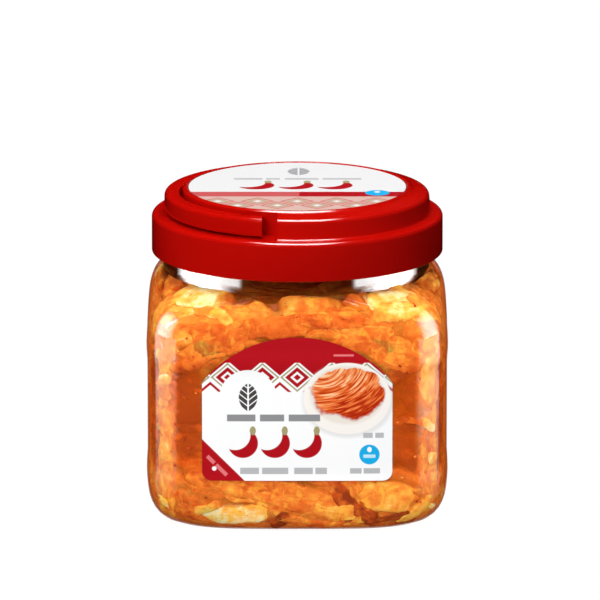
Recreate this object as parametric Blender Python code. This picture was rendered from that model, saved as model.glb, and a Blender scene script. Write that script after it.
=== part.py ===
"""Kimchi jar: a clear square jar with soft corners, packed with cut cabbage kimchi and shut by a
round red screw lid that carries a folding handle.

Units are metres, +Z is up and the origin is the middle of the base. The labelled side faces -Y.
The handle lies around the left half of the lid, at -X, and swings up about a line parallel to Y.
"""

from math import acos, atan2, copysign, cos, hypot, pi, radians, sin, sqrt, tau
from random import Random

import bmesh
import bpy
from mathutils import Matrix, Vector

MM = 0.001

# Jar body, a superellipse in plan whose corners soften into a round neck
HALF_WIDTH = 60.0 * MM
PLAN_POWER = 6.0
WALL = 1.2 * MM
FOOT_HALF_WIDTH = 51.8 * MM
FOOT_POWER = 3.2
BASE_ROUND_TOP = 15.0 * MM
SHOULDER_START = 78.0 * MM
NECK_START = 95.7 * MM
NECK_RADIUS = 54.5 * MM
MOUTH_TOP = 116.2 * MM
BUMPER_DEPTH = 0.4 * MM
BUMPER_REACH = 7.0 * MM
BUMPER_LEVELS = (19.0 * MM, 70.0 * MM)
PUSH_UP = 1.6 * MM
PUSH_UP_SHARES = (0.84, 0.74)
JAR_SEGMENTS = 48
CORNER_CROWDING = 0.8

# Screw lid, turned: a skirt, a ledge, an upper ring and a raised disc in the middle
SKIRT_RADIUS = 58.4 * MM
SKIRT_BOTTOM = 102.7 * MM
SKIRT_INNER_RADIUS = 56.8 * MM
LEDGE_TOP = 118.6 * MM
LEDGE_CEILING = 116.5 * MM
RING_RADIUS = 53.4 * MM
RING_TOP = 127.0 * MM
DISC_RADIUS = 45.6 * MM
DISC_TOP = 128.8 * MM
DISC_CAVITY_RADIUS = 42.0 * MM
DISC_CEILING = 126.4 * MM
RECESS_RADIUS = 44.1 * MM
RECESS_DEPTH = 0.8 * MM
NOTCH_INNER_RADIUS = 46.0 * MM
NOTCH_EDGE_X = -7.8 * MM
LID_SEGMENTS = 56

# Folding handle, a flat bar bent round the left half of the lid
HANDLE_OUTER_RADIUS = 53.3 * MM
HANDLE_INNER_RADIUS = 47.2 * MM
HANDLE_BOTTOM = 119.5 * MM
HANDLE_TOP = 127.0 * MM
HANDLE_EDGE = 0.9 * MM
HANDLE_END_X = -14.0 * MM
HANDLE_SECTIONS = 32
HINGE_X = -16.2 * MM
HINGE_Z = (HANDLE_BOTTOM + HANDLE_TOP) / 2
KNUCKLE_START_X = -22.4 * MM
KNUCKLE_FACE_Y = 44.8 * MM
PIN_RADIUS = 1.2 * MM
PIN_TIP_Y = 40.6 * MM
PIN_ROOT_Y = 47.0 * MM
PIN_CLEARANCE = 0.3 * MM

# Printed labels
LABEL_GAP = 0.25 * MM
LABEL_THICKNESS = 0.3 * MM
FRONT_LABEL_HALF_WIDTH = 37.8 * MM
FRONT_LABEL_BOTTOM = 22.3 * MM
FRONT_LABEL_TOP = 80.8 * MM
FRONT_LABEL_ARCH_RISE = 18.5 * MM
FRONT_LABEL_CORNER = 3.8 * MM
FRONT_LABEL_COLUMNS = 16
FRONT_LABEL_ROWS = 12
LID_LABEL_RADIUS = 43.6 * MM

# Kimchi, cut leaves and stems pressed against the wall round a core
KIMCHI_CLEARANCE = 0.5 * MM
CORE_INSET = 6.0 * MM
CORE_SEGMENTS = 28
CUT_SIDES = 8
WALL_ROWS = 5
CUTS_IN_A_ROW = 10
TOP_CUTS = 10
SEED = 11


def clear_scene():
    for obj in list(bpy.data.objects):
        bpy.data.objects.remove(obj)


def make_material(name, colour, roughness, alpha=1.0, transmission=0.0):
    material = bpy.data.materials.new(name)
    material.use_nodes = True
    shader = material.node_tree.nodes["Principled BSDF"]
    shader.inputs["Base Color"].default_value = (*colour, 1.0)
    shader.inputs["Roughness"].default_value = roughness
    shader.inputs["Metallic"].default_value = 0.0
    shader.inputs["Alpha"].default_value = alpha
    shader.inputs["Transmission Weight"].default_value = transmission
    return material


def object_from(bm, name, material=None, smooth_below=radians(40)):
    """A scene object from a bmesh, with rounded surfaces shaded smooth and edges kept crisp."""
    bmesh.ops.recalc_face_normals(bm, faces=bm.faces)
    mesh = bpy.data.meshes.new(name)
    bm.to_mesh(mesh)
    bm.free()
    mesh.shade_smooth()
    mesh.set_sharp_from_angle(angle=smooth_below)
    obj = bpy.data.objects.new(name, mesh)
    bpy.context.scene.collection.objects.link(obj)
    if material:
        mesh.materials.append(material)
    return obj


def loft(bm, rings):
    """Joins rings of equally many points by quads and closes the first and the last with a face."""
    rows = [[bm.verts.new(point) for point in ring] for ring in rings]
    for lower, upper in zip(rows, rows[1:]):
        for i, point in enumerate(lower):
            after = (i + 1) % len(lower)
            bm.faces.new((point, lower[after], upper[after], upper[i]))
    bm.faces.new(reversed(rows[0]))
    bm.faces.new(rows[-1])


def as_cutter(obj):
    obj.hide_render = True
    obj.display_type = "WIRE"
    return obj


def cut_away(obj, cutter):
    """Cuts the cutter out of the object and keeps the result as its mesh."""
    join_or_cut(obj, "DIFFERENCE", cutter)


def add_on(obj, other):
    join_or_cut(obj, "UNION", other)


def join_or_cut(obj, operation, other):
    modifier = obj.modifiers.new(operation.title(), "BOOLEAN")
    modifier.operation = operation
    modifier.solver = "EXACT"
    modifier.object = as_cutter(other)
    apply_modifiers(obj)
    bpy.data.objects.remove(other)


def apply_modifiers(obj):
    graph = bpy.context.evaluated_depsgraph_get()
    mesh = bpy.data.meshes.new_from_object(obj.evaluated_get(graph))
    obj.modifiers.clear()
    obj.data = mesh


def cylinder_along_y(name, radius, near, far, x, z, sides=20):
    bm = bmesh.new()
    bmesh.ops.create_cone(
        bm, cap_ends=True, segments=sides, radius1=radius, radius2=radius, depth=abs(far - near)
    )
    turn = Matrix.Rotation(radians(90), 4, "X")
    place = Matrix.Translation((x, (near + far) / 2, z))
    bmesh.ops.transform(bm, matrix=place @ turn, verts=bm.verts)
    return object_from(bm, name)


def box_between(name, low, high):
    bm = bmesh.new()
    bmesh.ops.create_cube(bm, size=1.0)
    size = Vector(high) - Vector(low)
    middle = (Vector(high) + Vector(low)) / 2
    bmesh.ops.scale(bm, vec=size, verts=bm.verts)
    bmesh.ops.translate(bm, vec=middle, verts=bm.verts)
    return object_from(bm, name)


def superellipse_radius(angle, half_width, power):
    """Distance from the middle to a square with soft corners, in the direction of the angle."""
    across = abs(cos(angle)) ** power + abs(sin(angle)) ** power
    return half_width / across ** (1 / power)


def bumper(z):
    """How far the two shallow protective rings stand out at this height."""
    nearest = min(abs(z - level) for level in BUMPER_LEVELS)
    if nearest >= BUMPER_REACH:
        return 0.0
    return BUMPER_DEPTH * (1 + cos(pi * nearest / BUMPER_REACH)) / 2


def wall_radius(angle, z, inset=0.0):
    """Distance from the jar's axis to a surface that lies inset inside its outer wall."""
    side = superellipse_radius(angle, HALF_WIDTH + bumper(z) - inset, PLAN_POWER)
    floor = inset
    neck_start = NECK_START - inset
    neck_radius = NECK_RADIUS - inset
    if z < BASE_ROUND_TOP:
        drop = min(1.0, (BASE_ROUND_TOP - z) / (BASE_ROUND_TOP - floor))
        foot = superellipse_radius(angle, FOOT_HALF_WIDTH, FOOT_POWER)
        return foot + (side - foot) * sqrt(1 - drop * drop)
    if z > neck_start:
        return neck_radius
    if z > SHOULDER_START:
        rise = (z - SHOULDER_START) / (neck_start - SHOULDER_START)
        return neck_radius + (side - neck_radius) * sqrt(1 - rise * rise)
    return side


def plan_angle(i, segments):
    """Directions of a ring's points, a little closer together towards the four corners."""
    turn = tau * i / segments
    x, y = cos(turn), sin(turn)
    return atan2(copysign(abs(y) ** CORNER_CROWDING, y), copysign(abs(x) ** CORNER_CROWDING, x))


def wall_ring(z, segments, inset=0.0, share=1.0):
    """One level of the wall as points, or of a smaller outline that is a share of it."""
    ring = []
    for i in range(segments):
        angle = plan_angle(i, segments)
        radius = wall_radius(angle, z, inset) * share
        ring.append(Vector((radius * cos(angle), radius * sin(angle), z)))
    return ring


def wall_levels(inset, steps, side_levels):
    """Heights where the wall needs a ring: close together where it turns, few where it is flat."""
    floor = inset
    neck_start = NECK_START - inset
    turns = [radians(90) * i / steps for i in range(steps + 1)]
    base = [BASE_ROUND_TOP - (BASE_ROUND_TOP - floor) * cos(turn) for turn in turns]
    shoulder = [SHOULDER_START + (neck_start - SHOULDER_START) * sin(turn) for turn in turns]
    return base + list(side_levels) + shoulder


def point_on_wall(x, z, outwards):
    """A point on the front wall at this x and height, moved straight out of the wall."""
    half_width = HALF_WIDTH + bumper(z)
    flat_depth = (half_width**PLAN_POWER - abs(x) ** PLAN_POWER) ** (1 / PLAN_POWER)
    angle = atan2(-flat_depth, x)
    share = wall_radius(angle, z) / hypot(flat_depth, x)
    return Vector((x, -flat_depth * share - outwards, z))


def make_jar(material):
    """The hollow body, from the middle of its base up to the mouth and back down inside."""
    bumper_rings = [
        level + step * BUMPER_REACH / 2 for level in BUMPER_LEVELS for step in range(-2, 3)
    ]
    side_levels = sorted(z for z in bumper_rings if BASE_ROUND_TOP < z < SHOULDER_START)
    outer_levels = wall_levels(0.0, 5, side_levels)
    inner_levels = wall_levels(WALL, 4, side_levels[2::3])
    push_start, push_end = PUSH_UP_SHARES

    outside = [wall_ring(z, JAR_SEGMENTS) for z in outer_levels]
    foot = [wall_ring(0.0, JAR_SEGMENTS, share=push_start)]
    dome = [lifted(wall_ring(0.0, JAR_SEGMENTS, share=push_end), PUSH_UP)]
    neck = [wall_ring(MOUTH_TOP, JAR_SEGMENTS)]
    mouth = [wall_ring(MOUTH_TOP, JAR_SEGMENTS, inset=WALL)]
    inside = [wall_ring(z, JAR_SEGMENTS, inset=WALL) for z in reversed(inner_levels)]
    inner_foot = [wall_ring(WALL, JAR_SEGMENTS, inset=WALL, share=push_start)]
    inner_dome = [lifted(wall_ring(WALL, JAR_SEGMENTS, inset=WALL, share=push_end), PUSH_UP)]

    bm = bmesh.new()
    loft(bm, dome + foot + outside + neck + mouth + inside + inner_foot + inner_dome)
    return object_from(bm, "jar_body", material)


def lifted(ring, height):
    return [point + Vector((0, 0, height)) for point in ring]


def arc_points(centre, radius, start, end, steps):
    """Points of an arc in the lid's profile, as pairs of radius and height, angles in degrees."""
    turns = [radians(start + (end - start) * i / steps) for i in range(steps + 1)]
    return [(centre[0] + radius * cos(turn), centre[1] + radius * sin(turn)) for turn in turns]


def lid_profile():
    """The lid's turned section from the middle of its top, down its outside and back up inside."""
    rim_round = 0.5 * MM
    disc_foot = 47.6 * MM
    ring_round = 2.0 * MM
    ring_draft = 0.4 * MM
    fillet = 0.8 * MM
    ledge_round = 1.8 * MM
    hem_round = 0.7 * MM
    recess_floor = DISC_TOP - RECESS_DEPTH
    top = [(RECESS_RADIUS, recess_floor), (RECESS_RADIUS + 0.2 * MM, DISC_TOP)]
    top += arc_points((DISC_RADIUS - rim_round, DISC_TOP - rim_round), rim_round, 90, 30, 2)
    top += [(disc_foot, RING_TOP + 0.35 * MM)]
    ring_centre = (RING_RADIUS - ring_draft - ring_round, RING_TOP - ring_round)
    ring = arc_points(ring_centre, ring_round, 90, 5, 4)
    ring += arc_points((RING_RADIUS + fillet, LEDGE_TOP + fillet), fillet, 180, 270, 2)
    skirt = arc_points(
        (SKIRT_RADIUS - ledge_round, LEDGE_TOP - ledge_round), ledge_round, 90, 0, 4
    )
    skirt += arc_points((SKIRT_RADIUS - hem_round, SKIRT_BOTTOM + hem_round), hem_round, 0, -90, 2)
    inside = [
        (SKIRT_INNER_RADIUS, SKIRT_BOTTOM),
        (SKIRT_INNER_RADIUS, LEDGE_CEILING),
        (DISC_CAVITY_RADIUS, LEDGE_CEILING),
        (DISC_CAVITY_RADIUS, DISC_CEILING),
    ]
    return top + ring + skirt + inside


def notch_cutter():
    """The space that the handle lies in: the upper ring's left part, down to the ledge."""
    reach = RING_RADIUS + 2 * MM
    above = DISC_TOP + 3 * MM
    bm = bmesh.new()
    levels = (LEDGE_TOP, above)
    outline = notch_outline(NOTCH_INNER_RADIUS, reach)
    loft(bm, [[Vector((x, y, z)) for x, y in outline] for z in levels])
    return object_from(bm, "notch")


def notch_outline(inner, outer, steps=40):
    """A ring sector in plan whose two ends are cut straight at the notch's edge."""

    def arc(radius, way):
        end = pi - acos(-NOTCH_EDGE_X / radius)
        turns = [pi + way * (pi - end) * (2 * i / steps - 1) for i in range(steps + 1)]
        return [(radius * cos(turn), radius * sin(turn)) for turn in turns]

    return arc(outer, 1) + arc(inner, -1)


def turned(profile, segments):
    """Spins a section round the Z axis and closes the middle at both of its ends."""
    bm = bmesh.new()
    points = [bm.verts.new((radius, 0, z)) for radius, z in profile]
    section = [bm.edges.new(pair) for pair in zip(points, points[1:])]
    bmesh.ops.spin(
        bm, geom=points + section, axis=(0, 0, 1), cent=(0, 0, 0), angle=tau, steps=segments
    )
    bmesh.ops.remove_doubles(bm, verts=bm.verts, dist=0.01 * MM)
    bmesh.ops.holes_fill(bm, edges=bm.edges)
    return bm


def make_lid(material):
    lid = object_from(turned(lid_profile(), LID_SEGMENTS), "lid", material)
    cut_away(lid, notch_cutter())
    for side in (-1, 1):
        hole = cylinder_along_y(
            "pin_hole",
            PIN_RADIUS + PIN_CLEARANCE,
            side * (PIN_TIP_Y - PIN_CLEARANCE),
            side * PIN_ROOT_Y,
            HINGE_X,
            HINGE_Z,
        )
        cut_away(lid, hole)
    lid.data.shade_smooth()
    lid.data.set_sharp_from_angle(angle=radians(35))
    return lid


def handle_section(angle):
    """The bar's section at this angle round the lid: a rectangle with its corners taken off."""
    inner, outer = HANDLE_INNER_RADIUS, HANDLE_OUTER_RADIUS
    low, high, edge = HANDLE_BOTTOM, HANDLE_TOP, HANDLE_EDGE
    corners = [
        (inner + edge, low),
        (outer - edge, low),
        (outer, low + edge),
        (outer, high - 2 * edge),
        (outer - 2 * edge, high),
        (inner + edge, high),
        (inner, high - edge),
        (inner, low + edge),
    ]
    return [Vector((radius * cos(angle), radius * sin(angle), z)) for radius, z in corners]


def make_handle(material):
    """The bar is cut square at both ends and gets a thinner knuckle and a pin at each.

    The object's origin lies on the line through the pins, which the handle turns about.
    """
    overrun = radians(82)
    turns = [pi - overrun + 2 * overrun * i / HANDLE_SECTIONS for i in range(HANDLE_SECTIONS + 1)]
    bm = bmesh.new()
    loft(bm, [handle_section(turn) for turn in turns])
    handle = object_from(bm, "handle", material)
    far = 70 * MM
    low, high = HANDLE_BOTTOM - MM, HANDLE_TOP + MM
    cut_away(handle, box_between("end", (HANDLE_END_X, -far, low), (far, far, high)))
    knuckle = box_between(
        "knuckle",
        (KNUCKLE_START_X, -KNUCKLE_FACE_Y, low),
        (far, KNUCKLE_FACE_Y, high),
    )
    cut_away(handle, knuckle)
    for side in (-1, 1):
        pin = cylinder_along_y(
            "pin", PIN_RADIUS, side * PIN_TIP_Y, side * PIN_ROOT_Y, HINGE_X, HINGE_Z
        )
        add_on(handle, pin)
    handle.data.shade_smooth()
    handle.data.set_sharp_from_angle(angle=radians(30))
    hinge = Vector((HINGE_X, 0, HINGE_Z))
    handle.data.transform(Matrix.Translation(-hinge))
    handle.location = hinge
    return handle


def front_label_span(x):
    """Lowest and highest point of the front label at this distance from its middle."""
    half_width = FRONT_LABEL_HALF_WIDTH
    rise = FRONT_LABEL_ARCH_RISE
    arch_radius = (half_width**2 + rise**2) / (2 * rise)
    top = FRONT_LABEL_TOP - arch_radius + sqrt(arch_radius**2 - x * x)
    into_corner = max(0.0, abs(x) - (half_width - FRONT_LABEL_CORNER))
    lift = FRONT_LABEL_CORNER - sqrt(FRONT_LABEL_CORNER**2 - into_corner**2)
    return FRONT_LABEL_BOTTOM + lift, top


def front_label_sheet(bm, outwards):
    """One face of the front label as a grid of points on the wall, moved outwards."""
    grid = []
    for column in range(FRONT_LABEL_COLUMNS + 1):
        x = -FRONT_LABEL_HALF_WIDTH * cos(pi * column / FRONT_LABEL_COLUMNS)
        low, high = front_label_span(x)
        heights = [
            low + (high - low) * row / FRONT_LABEL_ROWS for row in range(FRONT_LABEL_ROWS + 1)
        ]
        grid.append([bm.verts.new(point_on_wall(x, z, outwards)) for z in heights])
    for left, right in zip(grid, grid[1:]):
        for row in range(FRONT_LABEL_ROWS):
            bm.faces.new((left[row], right[row], right[row + 1], left[row + 1]))
    return grid


def make_front_label(material):
    """Both faces of the sheet, joined by bridging their borders."""
    bm = bmesh.new()
    front_label_sheet(bm, LABEL_GAP)
    front_label_sheet(bm, LABEL_GAP + LABEL_THICKNESS)
    borders = [edge for edge in bm.edges if edge.is_boundary]
    bmesh.ops.bridge_loops(bm, edges=borders)
    return object_from(bm, "front_label", material)


def make_lid_label(material):
    bottom = DISC_TOP - RECESS_DEPTH + LABEL_GAP
    rim = [(LID_LABEL_RADIUS, bottom + LABEL_THICKNESS), (LID_LABEL_RADIUS, bottom)]
    return object_from(turned(rim, LID_SEGMENTS), "lid_label", material)


def make_core(material):
    """The body of packed kimchi that the visible cuts are fused to."""
    levels = wall_levels(CORE_INSET, 3, [40 * MM, 60 * MM])
    bm = bmesh.new()
    loft(bm, [wall_ring(z, CORE_SEGMENTS, inset=CORE_INSET) for z in levels])
    return object_from(bm, "kimchi", material)


def cut_outline(rng, half_length, half_width):
    """An uneven rounded outline, as the knife and the leaf leave it, in the piece's own plane."""
    turn = rng.uniform(0, pi)
    outline = []
    for side in range(CUT_SIDES):
        angle = tau * side / CUT_SIDES
        swell = rng.uniform(0.84, 1.12)
        along, across = half_length * swell * cos(angle), half_width * swell * sin(angle)
        outline.append(
            (along * cos(turn) - across * sin(turn), along * sin(turn) + across * cos(turn))
        )
    return outline


def place_on_wall(angle, z, along, up, inset):
    """A point that lies inset inside the wall, moved along the wall and up from a middle point."""
    top = NECK_START - KIMCHI_CLEARANCE - WALL - 0.5 * MM
    bottom = WALL + KIMCHI_CLEARANCE + PUSH_UP
    height = min(max(z + up, bottom + inset / 3), top - inset / 3)
    turned = angle + along / wall_radius(angle, z)
    radius = wall_radius(turned, height, WALL + KIMCHI_CLEARANCE) - inset
    return Vector((radius * cos(turned), radius * sin(turned), height))


def wall_cut(rng, angle, z):
    """A cut of leaf or stem pressed against the wall: domed outside and sunk in the core."""
    is_stem = rng.random() < 0.35
    half_length = rng.uniform(14, 19) * MM if is_stem else rng.uniform(11, 16) * MM
    half_width = rng.uniform(7, 9) * MM if is_stem else rng.uniform(9, 13) * MM
    outline = cut_outline(rng, half_length, half_width)
    depth = rng.uniform(0.2, 1.3) * MM
    rings = []
    for share, inset in ((0.55, depth), (1.0, depth + 1.1 * MM), (0.9, CORE_INSET + 1.5 * MM)):
        rings.append(
            [place_on_wall(angle, z, share * a, share * u, inset) for a, u in outline]
        )
    bm = bmesh.new()
    loft(bm, rings)
    return object_from(bm, "cut")


def top_cut(rng, angle, distance):
    """A cut that lies on top of the heap, tilted a little."""
    outline = cut_outline(rng, rng.uniform(11, 16) * MM, rng.uniform(8, 11) * MM)
    base = NECK_START - CORE_INSET - 1.5 * MM
    thickness = rng.uniform(3.2, 4.6) * MM
    slope_x, slope_y = rng.uniform(-0.06, 0.06), rng.uniform(-0.06, 0.06)
    middle = Vector((distance * cos(angle), distance * sin(angle), base))
    rings = []
    for share, height in ((0.9, 0.0), (1.0, thickness * 0.6), (0.6, thickness)):
        rings.append(
            [
                middle + Vector((share * x, share * y, height + slope_x * x + slope_y * y))
                for x, y in outline
            ]
        )
    bm = bmesh.new()
    loft(bm, rings)
    return object_from(bm, "cut")


def fuse(obj, others):
    """Joins the cuts to the core by one Boolean union and removes the loose ones."""
    collection = bpy.data.collections.new("cuts")
    bpy.context.scene.collection.children.link(collection)
    for other in others:
        bpy.context.scene.collection.objects.unlink(other)
        collection.objects.link(other)
    modifier = obj.modifiers.new("Fuse", "BOOLEAN")
    modifier.operation = "UNION"
    modifier.operand_type = "COLLECTION"
    modifier.collection = collection
    modifier.solver = "MANIFOLD"
    apply_modifiers(obj)
    for other in others:
        bpy.data.objects.remove(other)
    bpy.data.collections.remove(collection)


def keep_largest_shell(obj):
    """Fills the small pockets that fusing closes in, and drops loose scraps."""
    bm = bmesh.new()
    bm.from_mesh(obj.data)
    bmesh.ops.remove_doubles(bm, verts=bm.verts, dist=0.02 * MM)
    bmesh.ops.triangulate(bm, faces=bm.faces)
    waiting = set(bm.faces)
    shells = []
    while waiting:
        shell = [waiting.pop()]
        for face in shell:
            joins = [edge for edge in face.edges if edge.is_manifold]
            around = {other for edge in joins for other in edge.link_faces}
            shell.extend(around & waiting)
            waiting -= around
        shells.append(shell)
    largest = max(shells, key=len)
    rest = [face for shell in shells if shell is not largest for face in shell]
    bmesh.ops.delete(bm, geom=rest, context="FACES")
    bm.to_mesh(obj.data)
    bm.free()


def make_kimchi(material):
    rng = Random(SEED)
    cuts = []
    lowest, highest = 12 * MM, 84 * MM
    for row in range(WALL_ROWS):
        z = lowest + (highest - lowest) * row / (WALL_ROWS - 1)
        for place in range(CUTS_IN_A_ROW):
            shift = 0.5 * (row % 2) + rng.uniform(-0.18, 0.18)
            angle = tau * (place + shift) / CUTS_IN_A_ROW
            cuts.append(wall_cut(rng, angle, z + rng.uniform(-3, 3) * MM))
    for place in range(TOP_CUTS):
        distance = (33 if place % 3 else 14) * MM
        cuts.append(top_cut(rng, tau * place / TOP_CUTS + rng.uniform(-0.1, 0.1), distance))
    kimchi = make_core(material)
    fuse(kimchi, cuts)
    keep_largest_shell(kimchi)
    return kimchi


def build():
    clear_scene()
    make_jar(make_material("clear_plastic", (0.95, 0.95, 0.95), 0.05, 0.3, 1.0))
    make_lid(make_material("lid_red_plastic", (0.53, 0.004, 0.003), 0.25))
    make_handle(make_material("handle_red_plastic", (0.53, 0.004, 0.003), 0.25))
    make_front_label(make_material("front_label_film", (0.93, 0.93, 0.93), 0.35))
    make_lid_label(make_material("lid_label_film", (0.93, 0.93, 0.93), 0.35))
    make_kimchi(make_material("cabbage", (0.85, 0.30, 0.05), 0.45))


build()
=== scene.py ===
# %% [markdown]
# # A square jar of cabbage kimchi
#
# The finished object is a clear plastic jar with soft corners, packed to the shoulder with cut
# kimchi and shut by a glossy red screw lid. A handle lies folded round the left half of the lid.
# The solids that carry, move and collide come first, as a fixed frame. Every piece below is made
# in the same metres and in the same place, so it can dress or replace one of those solids.

from math import cos, pi, radians, sin, sqrt, tau

import bpy
import numpy as np
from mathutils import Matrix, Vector, noise


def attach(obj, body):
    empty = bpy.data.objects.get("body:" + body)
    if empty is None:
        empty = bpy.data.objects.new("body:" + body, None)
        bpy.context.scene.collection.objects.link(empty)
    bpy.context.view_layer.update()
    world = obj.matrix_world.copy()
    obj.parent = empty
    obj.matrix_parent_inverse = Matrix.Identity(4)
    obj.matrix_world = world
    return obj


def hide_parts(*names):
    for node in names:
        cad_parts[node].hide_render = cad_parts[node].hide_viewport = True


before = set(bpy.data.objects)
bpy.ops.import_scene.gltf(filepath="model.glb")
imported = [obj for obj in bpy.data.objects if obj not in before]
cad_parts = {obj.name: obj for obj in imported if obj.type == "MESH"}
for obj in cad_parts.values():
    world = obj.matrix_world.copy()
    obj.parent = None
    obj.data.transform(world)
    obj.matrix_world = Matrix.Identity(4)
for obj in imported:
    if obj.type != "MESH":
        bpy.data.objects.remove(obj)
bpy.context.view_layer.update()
MM = 0.001

# %% [markdown]
# ## Camera
#
# The jar was photographed square on and from a little above, with a long lens that keeps its
# sides parallel. The distance fixes how fast things shrink with depth, and the lens then follows
# from how wide a strip of the world the picture shows at the jar's middle.

# %% Place the camera
CAMERA_RISE = radians(13.7)
CAMERA_DISTANCE = 4.0
PICTURE_WIDTH_IN_PIXELS = 600
PIXELS_PER_MM = 2.483
PICTURE_WIDTH = PICTURE_WIDTH_IN_PIXELS / PIXELS_PER_MM * MM
AIM = Vector((1.1 * MM, 0, 60 * MM))
LIFT_IN_PICTURE = 0.0875
SENSOR_WIDTH = 36

camera_data = bpy.data.cameras.new("camera")
camera_data.sensor_width = SENSOR_WIDTH
camera_data.lens = SENSOR_WIDTH * CAMERA_DISTANCE / PICTURE_WIDTH
camera_data.shift_y = LIFT_IN_PICTURE
camera_data.clip_end = 50
camera = bpy.data.objects.new("camera", camera_data)
bpy.context.scene.collection.objects.link(camera)
towards_camera = Vector((0, -cos(CAMERA_RISE), sin(CAMERA_RISE)))
camera.location = AIM + towards_camera * CAMERA_DISTANCE
camera.rotation_euler = (pi / 2 - CAMERA_RISE, 0, 0)
bpy.context.scene.camera = camera
print("lens", round(camera_data.lens), "mm")

# %% [markdown]
# ## Nodes as sums
#
# A material is a tree of nodes, and long trees are hard to read as single nodes. One small class
# wraps a socket, so that a sum such as `1 - mask` or `a * b` adds the Math nodes it needs. Every
# other node comes from one method.


# %% Wrap sockets and materials
class Wire:
    """An output socket that can be used in Python sums."""

    def __init__(self, finish, socket):
        self.finish = finish
        self.socket = socket

    def maths(self, operation, *values, clamp=False):
        settings = {"operation": operation, "use_clamp": clamp}
        return self.finish.add("ShaderNodeMath", settings, dict(enumerate(values)))

    def __add__(self, other):
        return self.maths("ADD", self, other)

    def __radd__(self, other):
        return self.maths("ADD", other, self)

    def __sub__(self, other):
        return self.maths("SUBTRACT", self, other)

    def __rsub__(self, other):
        return self.maths("SUBTRACT", other, self)

    def __mul__(self, other):
        return self.maths("MULTIPLY", self, other)

    def __rmul__(self, other):
        return self.maths("MULTIPLY", other, self)

    def __truediv__(self, other):
        return self.maths("DIVIDE", self, other)

    def __pow__(self, other):
        return self.maths("POWER", self, other)

    def size(self):
        return self.maths("ABSOLUTE", self)

    def most(self, other):
        return self.maths("MAXIMUM", self, other)

    def least(self, other):
        return self.maths("MINIMUM", self, other)

    def held(self):
        return self.maths("ADD", self, 0.0, clamp=True)

    def edge(self, place, softness):
        """Rises from 0 to 1 as this value passes the place, over a little softness."""
        return ((self - place) / softness + 0.5).held()


class Finish:
    """A new material with a Principled shader, and the one method that adds its other nodes."""

    def __init__(self, name, **surface):
        self.material = bpy.data.materials.new(name)
        self.material.use_nodes = True
        self.tree = self.material.node_tree
        self.shader = self.tree.nodes["Principled BSDF"]
        self.output = self.tree.nodes["Material Output"]
        for socket, value in surface.items():
            self.set(socket.replace("_", " "), value)

    def set(self, socket, value):
        self.connect(self.shader.inputs[socket], value)

    def connect(self, socket, value):
        if isinstance(value, Wire):
            self.tree.links.new(value.socket, socket)
        elif isinstance(value, tuple) and len(value) == 3 and socket.type == "RGBA":
            socket.default_value = (*value, 1.0)
        else:
            socket.default_value = value

    def add(self, kind, settings=None, sockets=None, output=0):
        node = self.tree.nodes.new(kind)
        for name, value in (settings or {}).items():
            if name == "stops":
                self.set_stops(node.color_ramp, value)
            else:
                setattr(node, name, value)
        for name, value in (sockets or {}).items():
            self.connect(node.inputs[name], value)
        return Wire(self, node.outputs[output])

    def set_stops(self, ramp, stops):
        while len(ramp.elements) < len(stops):
            ramp.elements.new(0.5)
        for element, (place, colour) in zip(ramp.elements, stops):
            element.position = place
            element.color = (*colour, 1.0)

    def blend(self, factor, under, over, mode="MIX"):
        settings = {"data_type": "RGBA", "blend_type": mode}
        return self.add("ShaderNodeMix", settings, {0: factor, 6: under, 7: over}, 2)

    def ramp(self, factor, *stops):
        return self.add("ShaderNodeValToRGB", {"stops": stops}, {0: factor})

    def place(self):
        """Object coordinates as three wires, in millimetres."""
        where = self.add("ShaderNodeTexCoord", output="Object")
        parts = [self.add("ShaderNodeSeparateXYZ", {}, {0: where}, axis) for axis in range(3)]
        return [part * 1000 for part in parts]

    def clouds(self, per_metre, detail=4.0, roughness=0.55, vector=None, distortion=0.0):
        where = vector or self.add("ShaderNodeTexCoord", output="Object")
        sockets = {
            "Vector": where,
            "Scale": per_metre,
            "Detail": detail,
            "Roughness": roughness,
            "Distortion": distortion,
        }
        return self.add("ShaderNodeTexNoise", {}, sockets)

    def bump(self, height, distance, strength=1.0):
        sockets = {"Height": height, "Distance": distance, "Strength": strength}
        self.set("Normal", self.add("ShaderNodeBump", {}, sockets))


class Glow(Finish):
    """A lamp's own nodes, which know how far across and up on the lamp each spot lies."""

    def __init__(self, lamp):
        lamp.data.use_nodes = True
        self.tree = lamp.data.node_tree
        self.shader = self.tree.nodes["Emission"]
        spot = self.add("ShaderNodeNewGeometry", output="Parametric")
        self.across, self.up = [
            self.add("ShaderNodeSeparateXYZ", {}, {0: spot}, axis) for axis in (0, 1)
        ]

    def grey_ramp(self, factor, *stops):
        return self.ramp(factor, *[(place, (light,) * 3) for place, light in stops])


# %% [markdown]
# ## Hands-on helpers
#
# Blender's operators work on what is selected, so each step first selects one object and nothing
# else. A finished piece has its place in its mesh, rides on a body of the frame, and may stand
# for one of the frame's solids.


# %% Helpers for modelling
def pick(obj):
    if bpy.context.object and bpy.context.object.mode != "OBJECT":
        bpy.ops.object.mode_set(mode="OBJECT")
    bpy.ops.object.select_all(action="DESELECT")
    obj.select_set(True)
    bpy.context.view_layer.objects.active = obj
    return obj


def add_primitive(kind, **settings):
    """Adds one of Blender's primitives, with nothing else selected."""
    bpy.ops.object.select_all(action="DESELECT")
    getattr(bpy.ops.mesh, f"primitive_{kind}_add")(**settings)
    return bpy.context.object


def edit(obj):
    pick(obj)
    bpy.ops.object.mode_set(mode="EDIT")
    bpy.ops.mesh.select_all(action="SELECT")


def leave_edit():
    bpy.ops.object.mode_set(mode="OBJECT")


def extrude_up(height):
    bpy.ops.mesh.extrude_region_move(TRANSFORM_OT_translate={"value": (0, 0, height)})


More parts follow.
